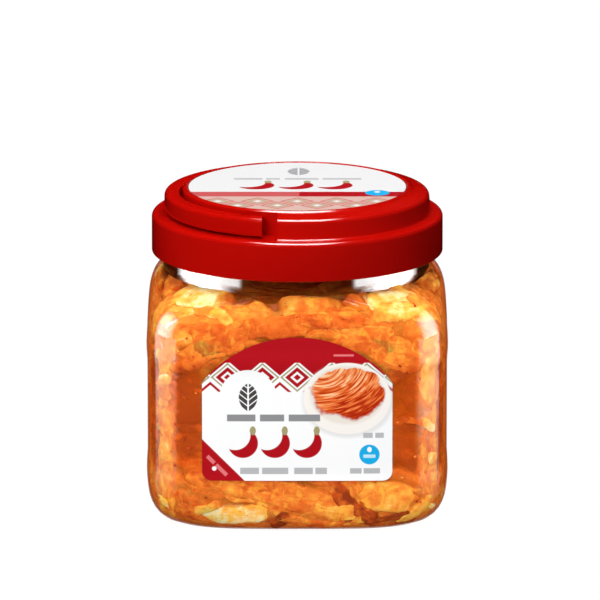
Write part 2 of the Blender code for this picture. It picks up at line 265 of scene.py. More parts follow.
def points_of(obj):
    points = np.empty(len(obj.data.vertices) * 3)
    obj.data.vertices.foreach_get("co", points)
    return points.reshape(-1, 3)


def move_points(obj, points):
    obj.data.vertices.foreach_set("co", np.asarray(points, dtype=float).ravel())
    obj.data.update()


def finish_modifier(obj, kind, **settings):
    """Adds a modifier, sets it and applies it."""
    pick(obj)
    modifier = obj.modifiers.new(kind.title(), kind)
    for name, value in settings.items():
        setattr(modifier, name, value)
    bpy.ops.object.modifier_apply(modifier=modifier.name)


def face_out(obj, merge=0.005 * MM):
    edit(obj)
    bpy.ops.mesh.remove_doubles(threshold=merge)
    bpy.ops.mesh.normals_make_consistent(inside=False)
    leave_edit()


def hand_over(obj, name, finish, body="jar", replaces=(), smooth=radians(38)):
    """Names a finished piece, gives it its material and sets it riding."""
    pick(obj)
    bpy.ops.object.transform_apply(location=True, rotation=True, scale=True)
    bpy.ops.object.shade_smooth_by_angle(angle=smooth)
    obj.name = obj.data.name = name
    obj.data.materials.clear()
    obj.data.materials.append(finish.material)
    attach(obj, body)
    if replaces:
        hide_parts(*replaces)
    triangles = sum(len(face.vertices) - 2 for face in obj.data.polygons)
    print(name, triangles, "triangles")
    return obj


# %% [markdown]
# ## Floor
#
# The jar stands on a bright white sweep, a single large plane that glows, so that it stays white
# out to its edges. It gives no reflection, bounced light or shadow, so lamps below it still reach
# the jar.

# %% Lay the floor
floor = add_primitive("plane", size=30, location=(0, 6, 0))
floor.name = "floor"
floor_finish = Finish("white_sweep", Roughness=0.9)
floor_finish.set("Specular IOR Level", 0.0)
floor_finish.set("Emission Color", (1.0, 1.0, 1.0))
floor_finish.set("Emission Strength", 0.98)
grain = floor_finish.clouds(6.0, detail=2.0)
floor_finish.set("Base Color", floor_finish.ramp(grain, (0.0, (0.13,) * 3), (1.0, (0.15,) * 3)))
floor.data.materials.append(floor_finish.material)
floor.visible_glossy = False
floor.visible_diffuse = False
floor.visible_shadow = False

world = bpy.data.worlds.new("white_room")
world.use_nodes = True
background = world.node_tree.nodes["Background"]
background.inputs["Color"].default_value = (1, 1, 1, 1)
background.inputs["Strength"].default_value = 0.24
world.cycles_visibility.glossy = False
bpy.context.scene.world = world
bpy.context.scene.view_settings.view_transform = "Standard"

# %% [markdown]
# ## Lamps
#
# A wide softbox overhead and a second, brighter one for the lid alone draw the pale streaks along
# the lid's edges, and a key lamp from the front left models its sides. The clear wall has lamps of
# its own. Two softboxes, left and right, are the pale strips on its corners and the white windows
# on its neck, and they fade towards the floor as real ones do. Two panels above them whiten the
# tops of the strips, and a thin one overhead draws the short streaks on the shoulder. Soft fill
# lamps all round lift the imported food. A lamp can fade over its own area because it has nodes too.

# %% Hang the lamps
LID_MIDDLE = (0, -0.02, 0.1)
JAR_MIDDLE = Vector((0, 0, 0.07))


def add_lamp(name, place, aim, width, height, watts, mirrored=False):
    lamp = bpy.data.lights.new(name, "AREA")
    lamp.shape = "RECTANGLE"
    lamp.size = width
    lamp.size_y = height
    lamp.energy = watts
    obj = bpy.data.objects.new(name, lamp)
    bpy.context.scene.collection.objects.link(obj)
    obj.location = place
    obj.rotation_euler = (Vector(aim) - Vector(place)).to_track_quat("-Z", "Y").to_euler()
    obj.visible_camera = False
    obj.visible_glossy = mirrored
    return obj


def round_lamp(name, azimuth, rise, brightness, size, distance=1.2):
    """A lamp that lights a face turned to it as brightly as a white room of this brightness."""
    turn, tilt = radians(azimuth), radians(rise)
    way = Vector((sin(turn) * cos(tilt), -cos(turn) * cos(tilt), sin(tilt)))
    watts = brightness * (pi * distance) ** 2
    return add_lamp(name, JAR_MIDDLE + way * distance, JAR_MIDDLE, size, size, watts)


def fade_lamp(lamp, shade):
    """Sets how bright each spot of a lamp is, by shade(glow)."""
    glow = Glow(lamp)
    glow.set("Color", shade(glow))
    return lamp


key = round_lamp("key", -28, 28, 0.62, 0.5)
back = round_lamp("back", 165, 25, 0.75, 0.6)
overhead = add_lamp("overhead", (0, -0.17, 1.08), LID_MIDDLE, 0.66, 0.66, 8.5, mirrored=True)
lid_streak = add_lamp("lid_streak", (0, -0.18, 1.09), LID_MIDDLE, 0.62, 0.6, 22, mirrored=True)
wall_streak = add_lamp("wall_streak", (0, -0.2, 1.09), LID_MIDDLE, 0.76, 0.07, 1.3, mirrored=True)
lid_streak.visible_diffuse = wall_streak.visible_diffuse = False


def streak_shade(glow):
    return glow.grey_ramp(
        glow.across, (0.1, 0.1), (0.55, 0.2), (0.64, 1.0), (0.8, 0.9), (0.9, 0.15)
    )


fade_lamp(wall_streak, streak_shade)
label_fill = round_lamp("label_fill", 6, 12, 0.42, 0.7)
food_fills = [
    round_lamp("food_front", 0, 12, 0.70, 1.0),
    round_lamp("food_left", -90, 12, 0.68, 1.0),
    round_lamp("food_right", 90, 12, 0.68, 1.0),
    round_lamp("food_back", 180, 12, 0.70, 1.0),
    round_lamp("high_front", 0, 42, 0.42, 0.9),
    round_lamp("high_back", 180, 42, 0.42, 0.9),
    round_lamp("bounce_front", 0, -40, 0.26, 0.9),
    round_lamp("bounce_back", 180, -40, 0.26, 0.9),
    round_lamp("food_top", 0, 80, 0.85, 0.6),
]


def softbox_shade(glow):
    """Bright at the height of the neck, and fading towards the floor and both upright edges."""
    stops = [(0.05, 0.04), (0.2, 0.08), (0.27, 0.16), (0.32, 0.28), (0.37, 0.41)]
    stops += [(0.475, 0.45), (0.52, 0.05)]
    sides = glow.across.edge(0.08, 0.08) * (1 - glow.across.edge(0.92, 0.08))
    return glow.grey_ramp(glow.up, *stops) * sides


def veil_shade(glow):
    return (1 - (glow.across * 2 - 1) ** 2.0) * (1 - glow.up.edge(0.8, 0.4))


def side_panel(name, side, distance, y, z, width, height, watts, shade):
    """An upright lamp at the jar's left (side -1) or right (side 1) that looks across at it."""
    place, aim = (side * distance, y, z), (0, y, z)
    return fade_lamp(add_lamp(name, place, aim, width, height, watts, mirrored=True), shade)


wall_lamps = [wall_streak]
for end, side in (("left", -1), ("right", 1)):
    softbox = ("softbox_" + end, side, 0.25, -0.075, 0.06, 0.39, 0.30, 3.0, softbox_shade)
    veil = ("veil_" + end, side, 0.26, -0.06, 0.19, 0.28, 0.26, 2.8, veil_shade)
    wall_lamps += [side_panel(*softbox), side_panel(*veil)]

# %% [markdown]
# ## The jar's form
#
# In plan the jar is a superellipse, a square whose sides bulge a little and whose corners turn
# softly. Going up, its base is rounded in, its sides run straight with two shallow bumpers, and
# its shoulder turns in along a quarter ellipse until the plan is the round neck, which rises out
# of it through a small hollow. The wall, the labels, the brine and every cut of kimchi use this
# one description, so they fit each other.

# %% Describe the wall
HALF_WIDTH = 60.0
PLAN_POWER = 6.0
WALL = 1.2
FOOT_HALF_WIDTH = 51.8
FOOT_POWER = 3.2
BASE_ROUND_TOP = 15.0
SHOULDER_START = 78.0
NECK_START = 95.7
NECK_RADIUS = 54.5
MOUTH_TOP = 116.2
BUMPER_DEPTH = 0.4
BUMPER_REACH = 7.0
BUMPER_LEVELS = (19.0, 70.0)
PUSH_UP = 1.6
HOLLOW = 3.0


def soft_square(angle, half_width, power):
    across = np.abs(np.cos(angle)) ** power + np.abs(np.sin(angle)) ** power
    return half_width / across ** (1 / power)


def bumper(z):
    nearest = np.minimum(np.abs(z - BUMPER_LEVELS[0]), np.abs(z - BUMPER_LEVELS[1]))
    swell = BUMPER_DEPTH * (1 + np.cos(pi * nearest / BUMPER_REACH)) / 2
    return np.where(nearest < BUMPER_REACH, swell, 0.0)


def quarter_ellipse(across, up, steps=200):
    """How far along a quarter ellipse each of its turns from 0 to 90 degrees lies."""
    turns = np.linspace(0, pi / 2, steps)
    x, y = across * np.sin(turns), up * (1 - np.cos(turns))
    along = np.concatenate([[0], np.cumsum(np.hypot(np.diff(x), np.diff(y)))])
    return turns, along


BASE_TURNS, BASE_ALONG = quarter_ellipse(HALF_WIDTH - FOOT_HALF_WIDTH, BASE_ROUND_TOP)
SHOULDER_TURNS, SHOULDER_ALONG = quarter_ellipse(
    NECK_START - SHOULDER_START, HALF_WIDTH - NECK_RADIUS
)
SIDE_START = BASE_ALONG[-1]
SHOULDER_FOOT = SIDE_START + SHOULDER_START - BASE_ROUND_TOP
CLIMB_END = SHOULDER_FOOT + SHOULDER_ALONG[-1]


def wall_points(angle, climb, depth):
    """Points inside the wall, in millimetres.

    The angle goes round the axis, the climb is the way up over the outside from the foot's edge,
    and the depth is how far behind the outer surface the point lies.
    """
    angle, climb, depth = np.broadcast_arrays(angle, climb, np.asarray(depth, dtype=float))
    z_side = BASE_ROUND_TOP + climb - SIDE_START
    side = soft_square(angle, HALF_WIDTH - depth, PLAN_POWER)
    foot = soft_square(angle, FOOT_HALF_WIDTH, FOOT_POWER)

    turn = np.interp(climb, BASE_ALONG, BASE_TURNS)
    base_radius = foot + (side - foot) * np.sin(turn)
    base_z = BASE_ROUND_TOP - (BASE_ROUND_TOP - depth) * np.cos(turn)
    floor_radius = foot + np.minimum(climb, 0)

    turn = np.interp(climb - SHOULDER_FOOT, SHOULDER_ALONG, SHOULDER_TURNS)
    neck = NECK_RADIUS - depth
    top_radius = neck + (side - neck) * np.cos(turn)
    top_z = SHOULDER_START + (NECK_START - depth - SHOULDER_START) * np.sin(turn)
    above = np.maximum(climb - CLIMB_END, 0)

    stretches = [climb < 0, climb < SIDE_START, climb > SHOULDER_FOOT]
    radius = np.select(stretches, [floor_radius, base_radius, top_radius], side)
    z = np.select(stretches, [depth, base_z, top_z + above], z_side)
    radius = radius + np.where((climb > 0) & (climb < CLIMB_END), bumper(z), 0.0)

    past = np.clip((climb - CLIMB_END) / HOLLOW, -1, 1)
    turn = (past + 1) * pi / 4
    radius = radius + HOLLOW * (1 - np.sin(turn) - np.maximum(-past, 0))
    z = z + HOLLOW * (1 - np.cos(turn) - np.maximum(past, 0))
    return np.stack([radius * np.cos(angle), radius * np.sin(angle), z], axis=-1)


PLAN_ANGLES = np.linspace(-pi / 2, 3 * pi / 2, 4001)
plan_radius = soft_square(PLAN_ANGLES, HALF_WIDTH, PLAN_POWER)
plan = np.stack([plan_radius * np.cos(PLAN_ANGLES), plan_radius * np.sin(PLAN_ANGLES)], axis=-1)
PLAN_WAY = np.concatenate([[0], np.cumsum(np.hypot(*np.diff(plan, axis=0).T))])
GIRTH = PLAN_WAY[-1]


def angle_at(way):
    """The direction from the axis to a point this far round the jar, from the front's middle."""
    return np.interp(np.mod(way, GIRTH), PLAN_WAY, PLAN_ANGLES)


def way_at(x):
    """How far round the jar the point of the front half with this x lies."""
    ways = np.linspace(-GIRTH / 4, GIRTH / 4, 2001)
    angles = angle_at(ways)
    return float(np.interp(x, soft_square(angles, HALF_WIDTH, PLAN_POWER) * np.cos(angles), ways))


print("girth", round(GIRTH), "mm, climb", round(CLIMB_END, 1), "mm")

# %% [markdown]
# ## Growing a form ring by ring
#
# A circle is added and extruded upwards once for each level of the form. Its points then know
# their level from their height and their direction from their place on the circle, so one
# function can lay each of them where it belongs. Opposite sides of such a form stay exactly as
# thick as they are meant to be.


# %% Extrude rings and lay them out
def grow(levels, lay, segments):
    """Extrudes a disc through the levels and lays each point by lay(level values, angles)."""
    obj = add_primitive("circle", vertices=segments, radius=1.0)
    edit(obj)
    bpy.ops.mesh.edge_face_add()
    bpy.ops.mesh.select_all(action="SELECT")
    for _ in levels[1:]:
        extrude_up(1)
    leave_edit()
    points = points_of(obj)
    row = np.rint(points[:, 2]).astype(int)
    angles = np.arctan2(points[:, 1], points[:, 0])
    values = np.asarray(levels, dtype=float)[row]
    move_points(obj, lay(values, angles) * MM)
    return obj


# %% [markdown]
# ## The clear wall
#
# The real jar is blown from clear plastic about a millimetre thick. Its outside runs from a
# shallow dome under the base, out over the foot ring, up the sides and the shoulder to the neck,
# turns over at the mouth, and comes back down the inside. Each level is a climb along the outside
# and a depth behind it.

# %% Grow the wall
LIP_ROUND = 0.35
outer_climbs = np.concatenate(
    [
        np.linspace(0, SIDE_START, 9),
        np.linspace(SIDE_START, SHOULDER_FOOT, 34)[1:],
        np.linspace(SHOULDER_FOOT, CLIMB_END - HOLLOW, 11)[1:],
        np.linspace(CLIMB_END - HOLLOW, CLIMB_END + HOLLOW, 11)[1:],
    ]
)
lip_climb = CLIMB_END + MOUTH_TOP - NECK_START
dome = [(-20.0, 0.0, PUSH_UP), (-14.0, 0.0, PUSH_UP), (-11.0, 0.0, PUSH_UP * 0.5), (-8.5, 0.0, 0.0)]
outside = [(climb, 0.0, 0.0) for climb in outer_climbs]
lip = [(lip_climb - 0.4, 0.0, 0.0), (lip_climb, LIP_ROUND, 0.0)]
lip += [(lip_climb, WALL - LIP_ROUND, 0.0), (lip_climb - 0.4, WALL, 0.0)]
inside = [(climb, WALL, 0.0) for climb in outer_climbs[::-1]]
wall_levels = dome + outside + lip + inside + [(c, WALL, lift) for c, _, lift in dome[::-1]]


def lay_wall(values, angles):
    laid = wall_points(angles, values[:, 0], values[:, 1])
    return laid + np.stack([0 * angles, 0 * angles, values[:, 2]], axis=-1)


clear = Finish("clear_plastic")
window = clear.add("ShaderNodeBsdfTransparent", {}, {"Color": (0.985, 0.985, 0.98)})
rim_tint = clear.add("ShaderNodeBsdfTransparent", {}, {"Color": (0.50, 0.21, 0.08)})
shine = clear.add("ShaderNodeBsdfGlossy", {}, {"Color": (1, 1, 1), "Roughness": 0.04})
facing = clear.add("ShaderNodeLayerWeight", {}, {"Blend": 0.5}, "Facing")
body_colour = clear.add("ShaderNodeMixShader", {}, {0: facing**9 * 0.9, 1: window, 2: rim_tint})
mirror = clear.add("ShaderNodeFresnel", {}, {"IOR": 1.5})
soft_waves = clear.clouds(28.0, detail=1.0)
wavy = clear.add("ShaderNodeBump", {}, {"Height": soft_waves, "Distance": 0.0003, "Strength": 0.25})
clear.connect(shine.socket.node.inputs["Normal"], wavy)
_, _, height = clear.place()
gloss = mirror.least(0.14) * (1 + height.edge(98.4, 1.2) * 1.7)
surface = clear.add("ShaderNodeMixShader", {}, {0: gloss, 1: body_colour, 2: shine})
clear.connect(clear.output.inputs["Surface"], surface)

wall = grow(wall_levels, lay_wall, 192)
face_out(wall)
wall = hand_over(wall, "clear_wall", clear, replaces=["jar_body"])

# %% [markdown]
# ## Kimchi: the cuts of cabbage
#
# Packed kimchi shows flat faces where cuts press against the wall, and darker brine where they
# curve away from it. So a cut is modelled flat, once for each kind, and each copy is then laid
# against the inside of the wall by its own place, turn and depth. How deep a point lies is kept
# with it, because the brine in front of it colours it.

# %% Helpers for laying cuts
rng = np.random.default_rng(20)
SKIN = 0.45


def rough(points, per_mm, seed):
    """Smooth noise from -1 to 1 at each point."""
    offset = Vector((seed * 7.13, seed * 3.71, seed * 1.97))
    return np.array([noise.noise(Vector(point) * per_mm + offset) for point in points])


def lay_cut(shape, way, climb, turn, depth, pressed=0.0):
    """Lays a flat cut against the wall: x runs along it, y across and z away from the wall.

    A crest that would pass through the wall is pressed flat, and pressed says how far behind the
    wall each point then stays, so that the two faces of a thin cut don't meet.
    """
    x, y, z = shape.T
    along = x * cos(turn) - y * sin(turn)
    up = x * sin(turn) + y * cos(turn)
    behind = np.maximum(z + depth, pressed) + SKIN
    climbs = np.clip(climb + up, -30, CLIMB_END + 1.0)
    laid = wall_points(angle_at(way + along), climbs, behind)
    return laid, behind


def join_cuts(name, base, shapes, finish):
    """One mesh from many copies of the same cut, each with its own shape."""
    count = len(base.data.vertices)
    corners = np.empty(len(base.data.loops), dtype=int)
    base.data.loops.foreach_get("vertex_index", corners)
    faces = [tuple(face.vertices) for face in base.data.polygons]
    all_points, all_faces, depths, tones, grains = [], [], [], [], []
    for number, (points, depth, tone, grain) in enumerate(shapes):
        all_points.append(points)
        all_faces += [tuple(v + number * count for v in face) for face in faces]
        depths.append(depth)
        tones.append(np.full(count, tone))
        grains.append(grain + np.array([0, 0, number * 37.0]))
    mesh = bpy.data.meshes.new(name)
    mesh.from_pydata((np.concatenate(all_points) * MM).tolist(), [], all_faces)
    for label, values in (("depth", depths), ("tone", tones)):
        layer = mesh.attributes.new(label, "FLOAT", "POINT")
        layer.data.foreach_set("value", np.concatenate(values))
    layer = mesh.attributes.new("grain", "FLOAT_VECTOR", "POINT")
    layer.data.foreach_set("vector", np.concatenate(grains).ravel())
    obj = bpy.data.objects.new(name, mesh)
    bpy.context.scene.collection.objects.link(obj)
    bpy.data.objects.remove(base)
    face_out(obj, merge=0.0)
    return hand_over(obj, name, finish, smooth=radians(75))


# %% [markdown]
# ## Kimchi: colour
#
# Cabbage stem is cream, the leaf's blade is yellow, and both are stained orange by chilli. One
# ramp runs from the most stained colour to cream, and noises of several scales say where on it a
# spot lies. The deeper a surface lies behind the wall, the more brine is in front of it, which
# turns it deep orange and at last red brown. Fine veins follow each cut, yellow flecks show the
# leaf's blade through the stain, and specks of chilli lie over it.

# %% Mix the kimchi colours
YELLOW_LEAF = (0.95, 0.52, 0.060)
BRINE = (0.76, 0.165, 0.016)
DEEP_BRINE = (0.48, 0.060, 0.006)
BRINE_IN_COLUMN_SHADE = (0.66, 0.098, 0.007)
STAINS = (
    (0.0, (0.24, 0.030, 0.006)),
    (0.18, (0.54, 0.078, 0.008)),
    (0.36, (0.67, 0.130, 0.014)),
    (0.54, (0.77, 0.215, 0.026)),
    (0.70, (0.84, 0.330, 0.045)),
    (0.84, (0.91, 0.490, 0.082)),
    (1.0, (0.94, 0.740, 0.370)),
)


def painted_shade_columns(finish):
    """1 in the upright columns beside the corners, where painted shade goes, and 0 elsewhere."""
    x, y, z = finish.place()
    from_middle = x.size().least(y.size())
    beside = from_middle.edge(37.5, 4.0) * (1 - from_middle.edge(48.0, 3.0))
    return beside * z.edge(24.0, 8.0) * (1 - z.edge(70.0, 10.0))


def kimchi_finish(name, paleness, grain_share, veins_per_mm, see_in):
    """Paleness is how far towards cream a cut of middling tone lies, see_in is in millimetres."""
    finish = Finish(name, Roughness=0.45)
    finish.set("Specular IOR Level", 0.2)
    finish.set("Subsurface Weight", 0.6)
    finish.set("Subsurface Radius", (see_in * MM, see_in * 0.5 * MM, see_in * 0.25 * MM))
    finish.set("Subsurface Scale", 1.0)
    depth = finish.add("ShaderNodeAttribute", {"attribute_name": "depth"}, {}, "Fac")
    tone = finish.add("ShaderNodeAttribute", {"attribute_name": "tone"}, {}, "Fac")
    grain = finish.add("ShaderNodeAttribute", {"attribute_name": "grain"}, {}, "Vector")
    patches = finish.clouds(0.13, detail=2.0, vector=grain, distortion=0.8)
    stretched = finish.add(
        "ShaderNodeVectorMath", {"operation": "MULTIPLY"}, {0: grain, 1: veins_per_mm}
    )
    veins = finish.clouds(1.0, detail=2.0, vector=stretched, distortion=0.8)
    mottle = finish.clouds(380.0, detail=2.0, roughness=0.55)
    broad = finish.clouds(45.0, detail=2.0)
    smears = finish.clouds(130.0, detail=3.0, roughness=0.6)
    # Painted shade: cuts in the columns beside the corners are drawn darker and redder.
    column_shade = painted_shade_columns(finish)
    pale = paleness + (tone - 0.5) * 0.40 + (patches - 0.5) * 0.9 + (veins - 0.5) * grain_share
    pale = pale + (mottle - 0.5) * 0.35 + (broad - 0.5) * 0.5 - smears.edge(0.55, 0.2) * 0.10
    pale = pale - depth * 0.025 - column_shade * 0.32
    colour = finish.ramp(pale.held(), *STAINS)
    flecks = finish.clouds(210.0, detail=3.0, distortion=1.0)
    yellowed = flecks.edge(0.58, 0.10) * (1 - column_shade) * pale.held() * 0.95
    colour = finish.blend(yellowed, colour, YELLOW_LEAF)
    specks = finish.clouds(900.0, detail=2.0)
    colour = finish.blend(specks.edge(0.69, 0.04) * 0.55, colour, (0.40, 0.03, 0.004))
    thinning = {"operation": "EXPONENT"}
    behind = 1 - finish.add("ShaderNodeMath", thinning, {0: (depth - SKIN) * -0.42})
    shade = finish.blend(column_shade, BRINE, BRINE_IN_COLUMN_SHADE)
    colour = finish.blend(behind.held() * 0.85, colour, shade)
    colour = finish.blend(depth.edge(6.5, 5.0) * 0.7, colour, DEEP_BRINE)
    finish.set("Base Color", colour)
    finish.bump(veins * 0.6 + mottle * 0.4, 0.0004, 0.3)
    return finish


stem_finish = kimchi_finish("cabbage_stem", 0.60, 0.35, (0.05, 0.45, 0.3), 1.6)
leaf_finish = kimchi_finish("cabbage_leaf", 0.50, 0.50, (0.12, 0.40, 0.3), 0.15)

# %% [markdown]
# ## Kimchi: the core
#
# Behind the cuts lies the rest of the heap, which shows only as a dark, lumpy mass between them.
# It is grown ring by ring like the jar, a few millimetres further in, and its surface is pushed
# in and out by noise. Its last rings turn back down inside and close it near the base, so it is a
# cup, and the leaves on top of the heap lie over its opening.

# %% Grow the core
CORE_DEPTH = 5.2
CORE_CLOSING_CLIMB = CLIMB_END - 100
core_climbs = np.concatenate([np.linspace(-45, 0, 8), np.linspace(0, CLIMB_END, 46)[1:]])
core_levels = [
    (climb, np.interp(climb, (3, 8, 20), (0.6, 2.0, CORE_DEPTH))) for climb in core_climbs
]
core_levels += [
    (CORE_CLOSING_CLIMB - step, CORE_DEPTH) for step in np.linspace(0.0, 0.9, 9)[1:]
]


def lay_core(values, angles):
    climbs, depths = values.T
    laid = wall_points(angles, climbs, depths)
    lumps = rough(laid, 0.16, 3) * 1.6 + rough(laid, 0.5, 5) * 0.7
    inwards = laid - np.array([0, 0, 48.0])
    inwards /= np.linalg.norm(inwards, axis=1)[:, None]
    room = np.maximum(depths - 1.4, 0) / (CORE_DEPTH - 1.4)
    return laid + inwards * (lumps * room)[:, None]


core = grow(core_levels, lay_core, 150)
face_out(core)
core_finish = Finish("packed_core", Roughness=0.4)
core_colours = (
    (0.30, (0.40, 0.050, 0.004)),
    (0.55, (0.66, 0.130, 0.010)),
    (0.75, (0.80, 0.260, 0.030)),
)
core_patches = core_finish.clouds(120.0, detail=4.0)
core_finish.set("Base Color", core_finish.ramp(core_patches, *core_colours))
core_finish.bump(core_finish.clouds(400.0), 0.0006, 0.6)
core = hand_over(
    core, "packed_core", core_finish, replaces=["kimchi"], smooth=radians(80)
)

# %% [markdown]
# ## Kimchi: stem cuts
#
# A stem cut is a thick, slightly domed slab with long ribs. It starts as a cube that is
# subdivided and pulled part of the way towards a sphere, which rounds its edges and swells its
# faces, and is then scaled flat. Each copy gets its own length, width, taper and dents.

# %% Model a stem cut and lay its copies
stem = add_primitive("cube", size=2)
edit(stem)
bpy.ops.mesh.subdivide(number_cuts=9)
bpy.ops.transform.tosphere(value=0.42)
leave_edit()
stem_form = points_of(stem)
stem_form /= np.abs(stem_form).max(axis=0)


def stem_shape(length, width, seed, thickness=5.0):
    """One stem cut in millimetres, with its crest at z = 0 and its back behind it."""
    form = stem_form * np.array([length, width, thickness]) / 2
    form[:, 1] *= 1 + 0.22 * np.sin(seed * 1.7) * form[:, 0] / (length / 2)
    form[:, 1] += 0.10 * length * np.sin(seed * 2.3) * (form[:, 0] / (length / 2)) ** 2
    ribs = np.sin(form[:, 1] * (1.2 + 0.3 * np.sin(seed)) + seed) * 0.25
    dents = rough(form, 0.09, seed) * 1.1 + rough(form, 0.28, seed + 20) * 0.3
    form[:, 0] += rough(form, 0.22, seed + 40) * 2.2
    form[:, 1] += rough(form, 0.22, seed + 80) * 1.8
    crown = 1.7 * np.abs(form[:, 1] / (width / 2)) ** 3
    crown += 1.2 * np.abs(form[:, 0] / (length / 2)) ** 4
    form[:, 2] = form[:, 2] + thickness / 2 + crown + ribs + dents
    return form


def lay_many(shape_of, places, pressed=0.0, standoff=0.35, first=0):
    """Lays one cut for each place: way, climb, turn, depth, tone, length and width.

    No two cuts are pressed equally flat, so that their faces never coincide, and a cut that is
    meant to show has no standoff from the wall.
    """
    laid = []
    for number, (way, climb, turn, depth, tone, length, width) in enumerate(places, first):
        shape = shape_of(length, width, number + 1.5)
        flat = pressed + standoff + number * 0.618 % 1 * 0.3
        points, behind = lay_cut(shape, way, climb, turn, depth, flat)
        laid.append((points, behind, tone, shape))
    return laid


def tone_at(way, climb):
    """A random tone, darker in the upright columns beside the corners, as painted shade."""
    from_middle = abs((way / GIRTH * 4 + 0.5) % 1 - 0.5) * GIRTH / 4
    beside = 35 < from_middle < 49 and 25 < climb < 76
    return rng.uniform(-0.2, 0.7) if beside else rng.uniform(0.15, 0.95)


def scatter(rows, per_row, lean, depths, lengths, widths):
    places = []
    for row, row_climb in enumerate(rows):
        for place in range(per_row):
            way = (place + 0.5 * (row % 2) + rng.uniform(-0.35, 0.35)) * GIRTH / per_row
            climb = row_climb + rng.uniform(-4, 4)
            turn = rng.normal(0, lean)
            depth, length, width = rng.uniform(*depths), rng.uniform(*lengths), rng.uniform(*widths)
            places.append((way, climb, turn, depth, tone_at(way, climb), length, width))
    return places


stem_places = scatter((4, 22, 40, 58, 76, 92), 12, 0.6, (0.0, 2.0), (20, 34), (10, 17))
shown_stems = [
    (-25.0, 10.0, 0.06, -1.2, 1.6, 30, 11),
    (-37.0, 13.5, 0.35, -0.6, 0.9, 14, 5),
    (36.0, 18.0, -0.15, -0.9, 0.75, 26, 15),
    (50.0, 11.0, 0.9, -0.4, 0.8, 20, 9),
    (-52.0, 99.0, 0.0, -0.8, 1.5, 30, 9),
    (48.0, 96.5, -0.05, -0.8, 1.4, 38, 10),
    (26.0, 8.0, 0.3, -1.5, 0.35, 7, 5),
]
# Cream lumps in a column down each front corner are painted highlights: pale cuts that stand for
# light the corners refract.
for strip_way in (way_at(-54.5), way_at(54.5)):
    for lump in range(7):
        climb = 14 + lump * 10.5 + rng.uniform(-2, 2)
        place = (strip_way + rng.uniform(-1.5, 1.5), climb, rng.uniform(-0.5, 0.5), -0.1)
        shown_stems.append((*place, rng.uniform(0.8, 1.2), rng.uniform(8, 13), rng.uniform(5, 8)))
other_sides = np.random.default_rng(11)
for strip_way in (way_at(-54.5) + GIRTH / 2, way_at(54.5) + GIRTH / 2):
    for lump in range(7):
        way = strip_way + other_sides.uniform(-8, 8)
        climb = 14 + lump * 10.5 + other_sides.uniform(-5, 5)
        place = (way, climb, other_sides.uniform(-0.9, 0.9), other_sides.uniform(-0.3, 0.9))
        size = (other_sides.uniform(8, 20), other_sides.uniform(5, 9))
        shown_stems.append((*place, other_sides.uniform(0.4, 1.1), *size))
for side in (1, 2, 3):
    for climb in (11, 26, 46, 62, 80, 96):
        way = side * GIRTH / 4 + other_sides.uniform(-38, 38)
        place = (way, climb, other_sides.normal(0, 0.25), other_sides.uniform(-0.9, 0.3))
        size = (other_sides.uniform(20, 34), other_sides.uniform(7, 13))
        shown_stems.append((*place, other_sides.uniform(0.6, 1.2), *size))
laid_stems = lay_many(stem_shape, stem_places)
laid_stems += lay_many(stem_shape, shown_stems, standoff=0.0, first=100)
stems = join_cuts("stem_cuts", stem, laid_stems, stem_finish)

# %% [markdown]
# ## Kimchi: leaf cuts
#
# The leaf's blade is thin and crinkled. A fine grid gets an uneven outline, and its surface is
# thrown into long narrow folds that run one way, as when a bundle of leaves is pressed against
# the wall. Where a fold's crest would pass through the wall it is pressed flat, and the hollows
# between the crests fill with brine.


# %% Model a leaf cut and lay its copies
def leaf_grid(across, up):
    """A thin leaf with two faces, and its points."""
    grid = add_primitive("grid", x_subdivisions=across, y_subdivisions=up, size=2)
    finish_modifier(grid, "SOLIDIFY", thickness=0.06, offset=0.0)
    return grid, points_of(grid)


def crinkle(form, length, width, seed, fold, waver):
    """One leaf cut in millimetres: z = 0 is its plane, and folds go to both sides of it."""
    u, v, side = form.T
    corner = np.sqrt(1 - 0.42 * u**2 * v**2)
    x, y = u * corner * length / 2, v * corner * width / 2
    flat = np.stack([x, y, np.zeros_like(x)], axis=-1)
    x = x + (rough(flat, 0.10, seed) * 4.0 + rough(flat, 0.4, seed + 15) * 1.5) * np.abs(u)
    y = y + (rough(flat, 0.10, seed + 30) * 4.0 + rough(flat, 0.4, seed + 45) * 1.2) * np.abs(v)
    y = y + rough(flat * np.array([1, 0, 0]), 0.05, seed + 10) * waver
    drift = rough(flat, 0.07, seed + 60) * 4.0
    folds = np.sin((y + drift) * (fold + 0.2 * np.sin(seed))) * 0.7
    crumple = rough(flat * np.array([0.5, 1.2, 1.0]), 0.17, seed + 90) * 1.5
    crumple += rough(flat, 0.45, seed + 120) * 0.35
    edge_drop = 2.6 * np.maximum(np.abs(u), np.abs(v)) ** 4
    z = folds + crumple + edge_drop + np.sign(side) * -0.3
    return np.stack([x, y, z], axis=-1)


leaf, leaf_form = leaf_grid(23, 17)


def leaf_shape(length, width, seed):
    return crinkle(leaf_form, length, width, seed, 0.65, 0.0)


